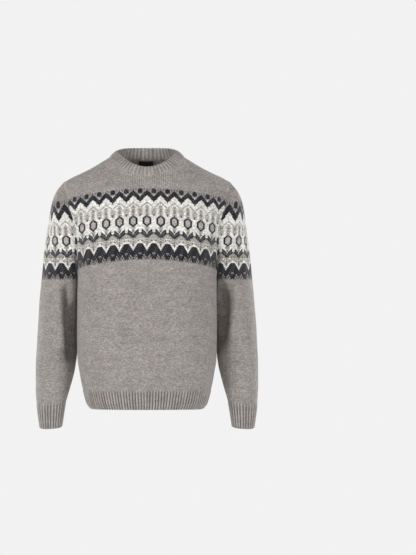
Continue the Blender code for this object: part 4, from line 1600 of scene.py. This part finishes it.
@dataclass
class NeckLabel:
    """A plain black woven label, sewn inside the back just under the neck seam."""

    back: BodySurface
    width: float = 0.0385
    centre: float = -0.003
    height: float = 0.024
    below_seam: float = 0.0035
    clearance: float = 0.00045
    crown: float = 0.0005
    thickness: float = 0.0007

    def build(self, finish: bpy.types.Material) -> bpy.types.Object:
        """Makes the label, a little crowned between its sewn ends."""
        across = np.linspace(-self.width / 2, self.width / 2, 25)
        down = np.linspace(0, self.height, 17)
        q = across[None, :] + self.centre + np.zeros((17, 1))
        z = -NECK_DROP_BACK - self.below_seam - down[:, None] + 0 * q
        level = 1 - (2 * across / self.width) ** 4
        crown = self.crown * np.sin(math.pi * down / self.height)[:, None] * level
        sink = WALL + self.clearance + crown
        points = self.back.points(q, z) - self.back.normals(q, z) * sink[..., None]
        cloth = Cloth(points, across / STITCH, down / ROW, np.zeros((16, 24, 3)))
        piece = place_piece("neck_label", cloth.mesh("neck_label"), finish)
        thicken(piece, self.thickness)
        return piece


@dataclass
class Studio:
    """Pale paper, soft light all round and the camera."""

    floor_height: float = -1.45
    distance: float = 14.0
    frame_height: float = 1.493
    centre_height: float = -0.324
    shift: float = 61 / 555
    backdrop_level: float = 0.8879
    room_light: float = 0.105
    aim_height: float = -0.33
    floor_radius: float = 1.9

    def light(self, side: str, box: SoftBox, way: float) -> None:
        """Adds one soft box, or its twin at the back, aimed at the garment."""
        name = f"{side}_{box.name}"
        lamp = bpy.data.lights.new(name, "AREA")
        lamp.shape = "DISK"
        lamp.size = box.size
        lamp.energy = box.power
        holder = bpy.data.objects.new(name, lamp)
        bpy.context.scene.collection.objects.link(holder)
        place = (box.x * way, box.y * way, box.z)
        toward = np.array([0.0, 0.0, self.aim_height]) - np.array(place)
        holder.location = place
        holder.rotation_euler = Vector(toward).to_track_quat("-Z", "Y").to_euler()

    def room(self) -> None:
        """The pale backdrop that the camera sees, and the softer light of the room."""
        world = bpy.data.worlds.new("studio")
        world.use_nodes = True
        nodes = world.node_tree.nodes
        links = world.node_tree.links
        paper = nodes["Background"]
        paper.inputs["Color"].default_value = (self.backdrop_level,) * 3 + (1,)
        room = nodes.new("ShaderNodeBackground")
        room.inputs["Color"].default_value = (1.0, 1.0, 1.0, 1)
        room.inputs["Strength"].default_value = self.room_light
        seen = nodes.new("ShaderNodeLightPath")
        either = nodes.new("ShaderNodeMixShader")
        links.new(seen.outputs["Is Camera Ray"], either.inputs[0])
        links.new(room.outputs[0], either.inputs[1])
        links.new(paper.outputs[0], either.inputs[2])
        links.new(either.outputs[0], nodes["World Output"].inputs[0])
        bpy.context.scene.world = world

    def floor(self) -> None:
        """A disc of paper far below the garment."""
        bm = bmesh.new()
        bmesh.ops.create_circle(bm, cap_ends=True, segments=96, radius=self.floor_radius)
        mesh = bpy.data.meshes.new("floor")
        bm.to_mesh(mesh)
        bm.free()
        floor = bpy.data.objects.new("floor", mesh)
        floor.location.z = self.floor_height
        floor.data.materials.append(BackdropFinish().material())
        bpy.context.scene.collection.objects.link(floor)

    def camera(self) -> None:
        """A long lens at the garment's height, shifted as in the photograph."""
        eye = bpy.data.cameras.new("camera")
        eye.sensor_fit = "VERTICAL"
        eye.sensor_height = 24.0
        eye.lens = self.distance * eye.sensor_height / self.frame_height
        eye.shift_x = self.shift
        eye.dof.use_dof = False
        camera = bpy.data.objects.new("camera", eye)
        camera.location = (0.0, -self.distance, self.centre_height)
        camera.rotation_euler = (math.pi / 2, 0.0, 0.0)
        bpy.context.scene.collection.objects.link(camera)
        bpy.context.scene.camera = camera

    def build(self) -> None:
        """Sets up room, floor, lights and camera."""
        bpy.context.scene.view_settings.view_transform = "Standard"
        self.room()
        self.floor()
        for side, way in (("front", 1.0), ("back", -1.0)):
            for box in SOFT_BOXES:
                self.light(side, box, way)
        self.camera()


def corners(box: tuple) -> list[list[float]]:
    """A box's two corners as plain lists."""
    return [[float(value) for value in corner] for corner in box]


def main() -> None:
    """Builds the garment, piece by piece, and its studio."""
    logging.basicConfig(level=logging.INFO, format="%(name)s %(message)s")
    clear_scene()
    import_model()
    Studio().build()

    chart = BandChart()
    front = BodySurface(-1)
    back = BodySurface(1)
    body_finish = KnitFinish("heathered_stocking_stitch").material()
    rib_finish = KnitFinish(
        "heathered_rib", relief=0.0005, gap_shade=0.84, heather=0.18, single=0.24
    ).material()
    BodyPanel(front, chart, 0.0, 0.0222, 1.7, 0.88).build(body_finish)
    BodyPanel(back, chart, 0.0205, 0.0025, 2.0, 0.90).build(body_finish)
    for mirror in (1, -1):
        surface = SleeveSurface(mirror, front, back)
        Sleeve(surface, chart).build(body_finish)
        CuffRib(surface).build(rib_finish)
    HemRib(front, back).build(rib_finish)
    Collar(front, back).build(rib_finish)
    NeckLabel(back).build(TapeFinish().material())


if __name__ == "__main__":
    main()
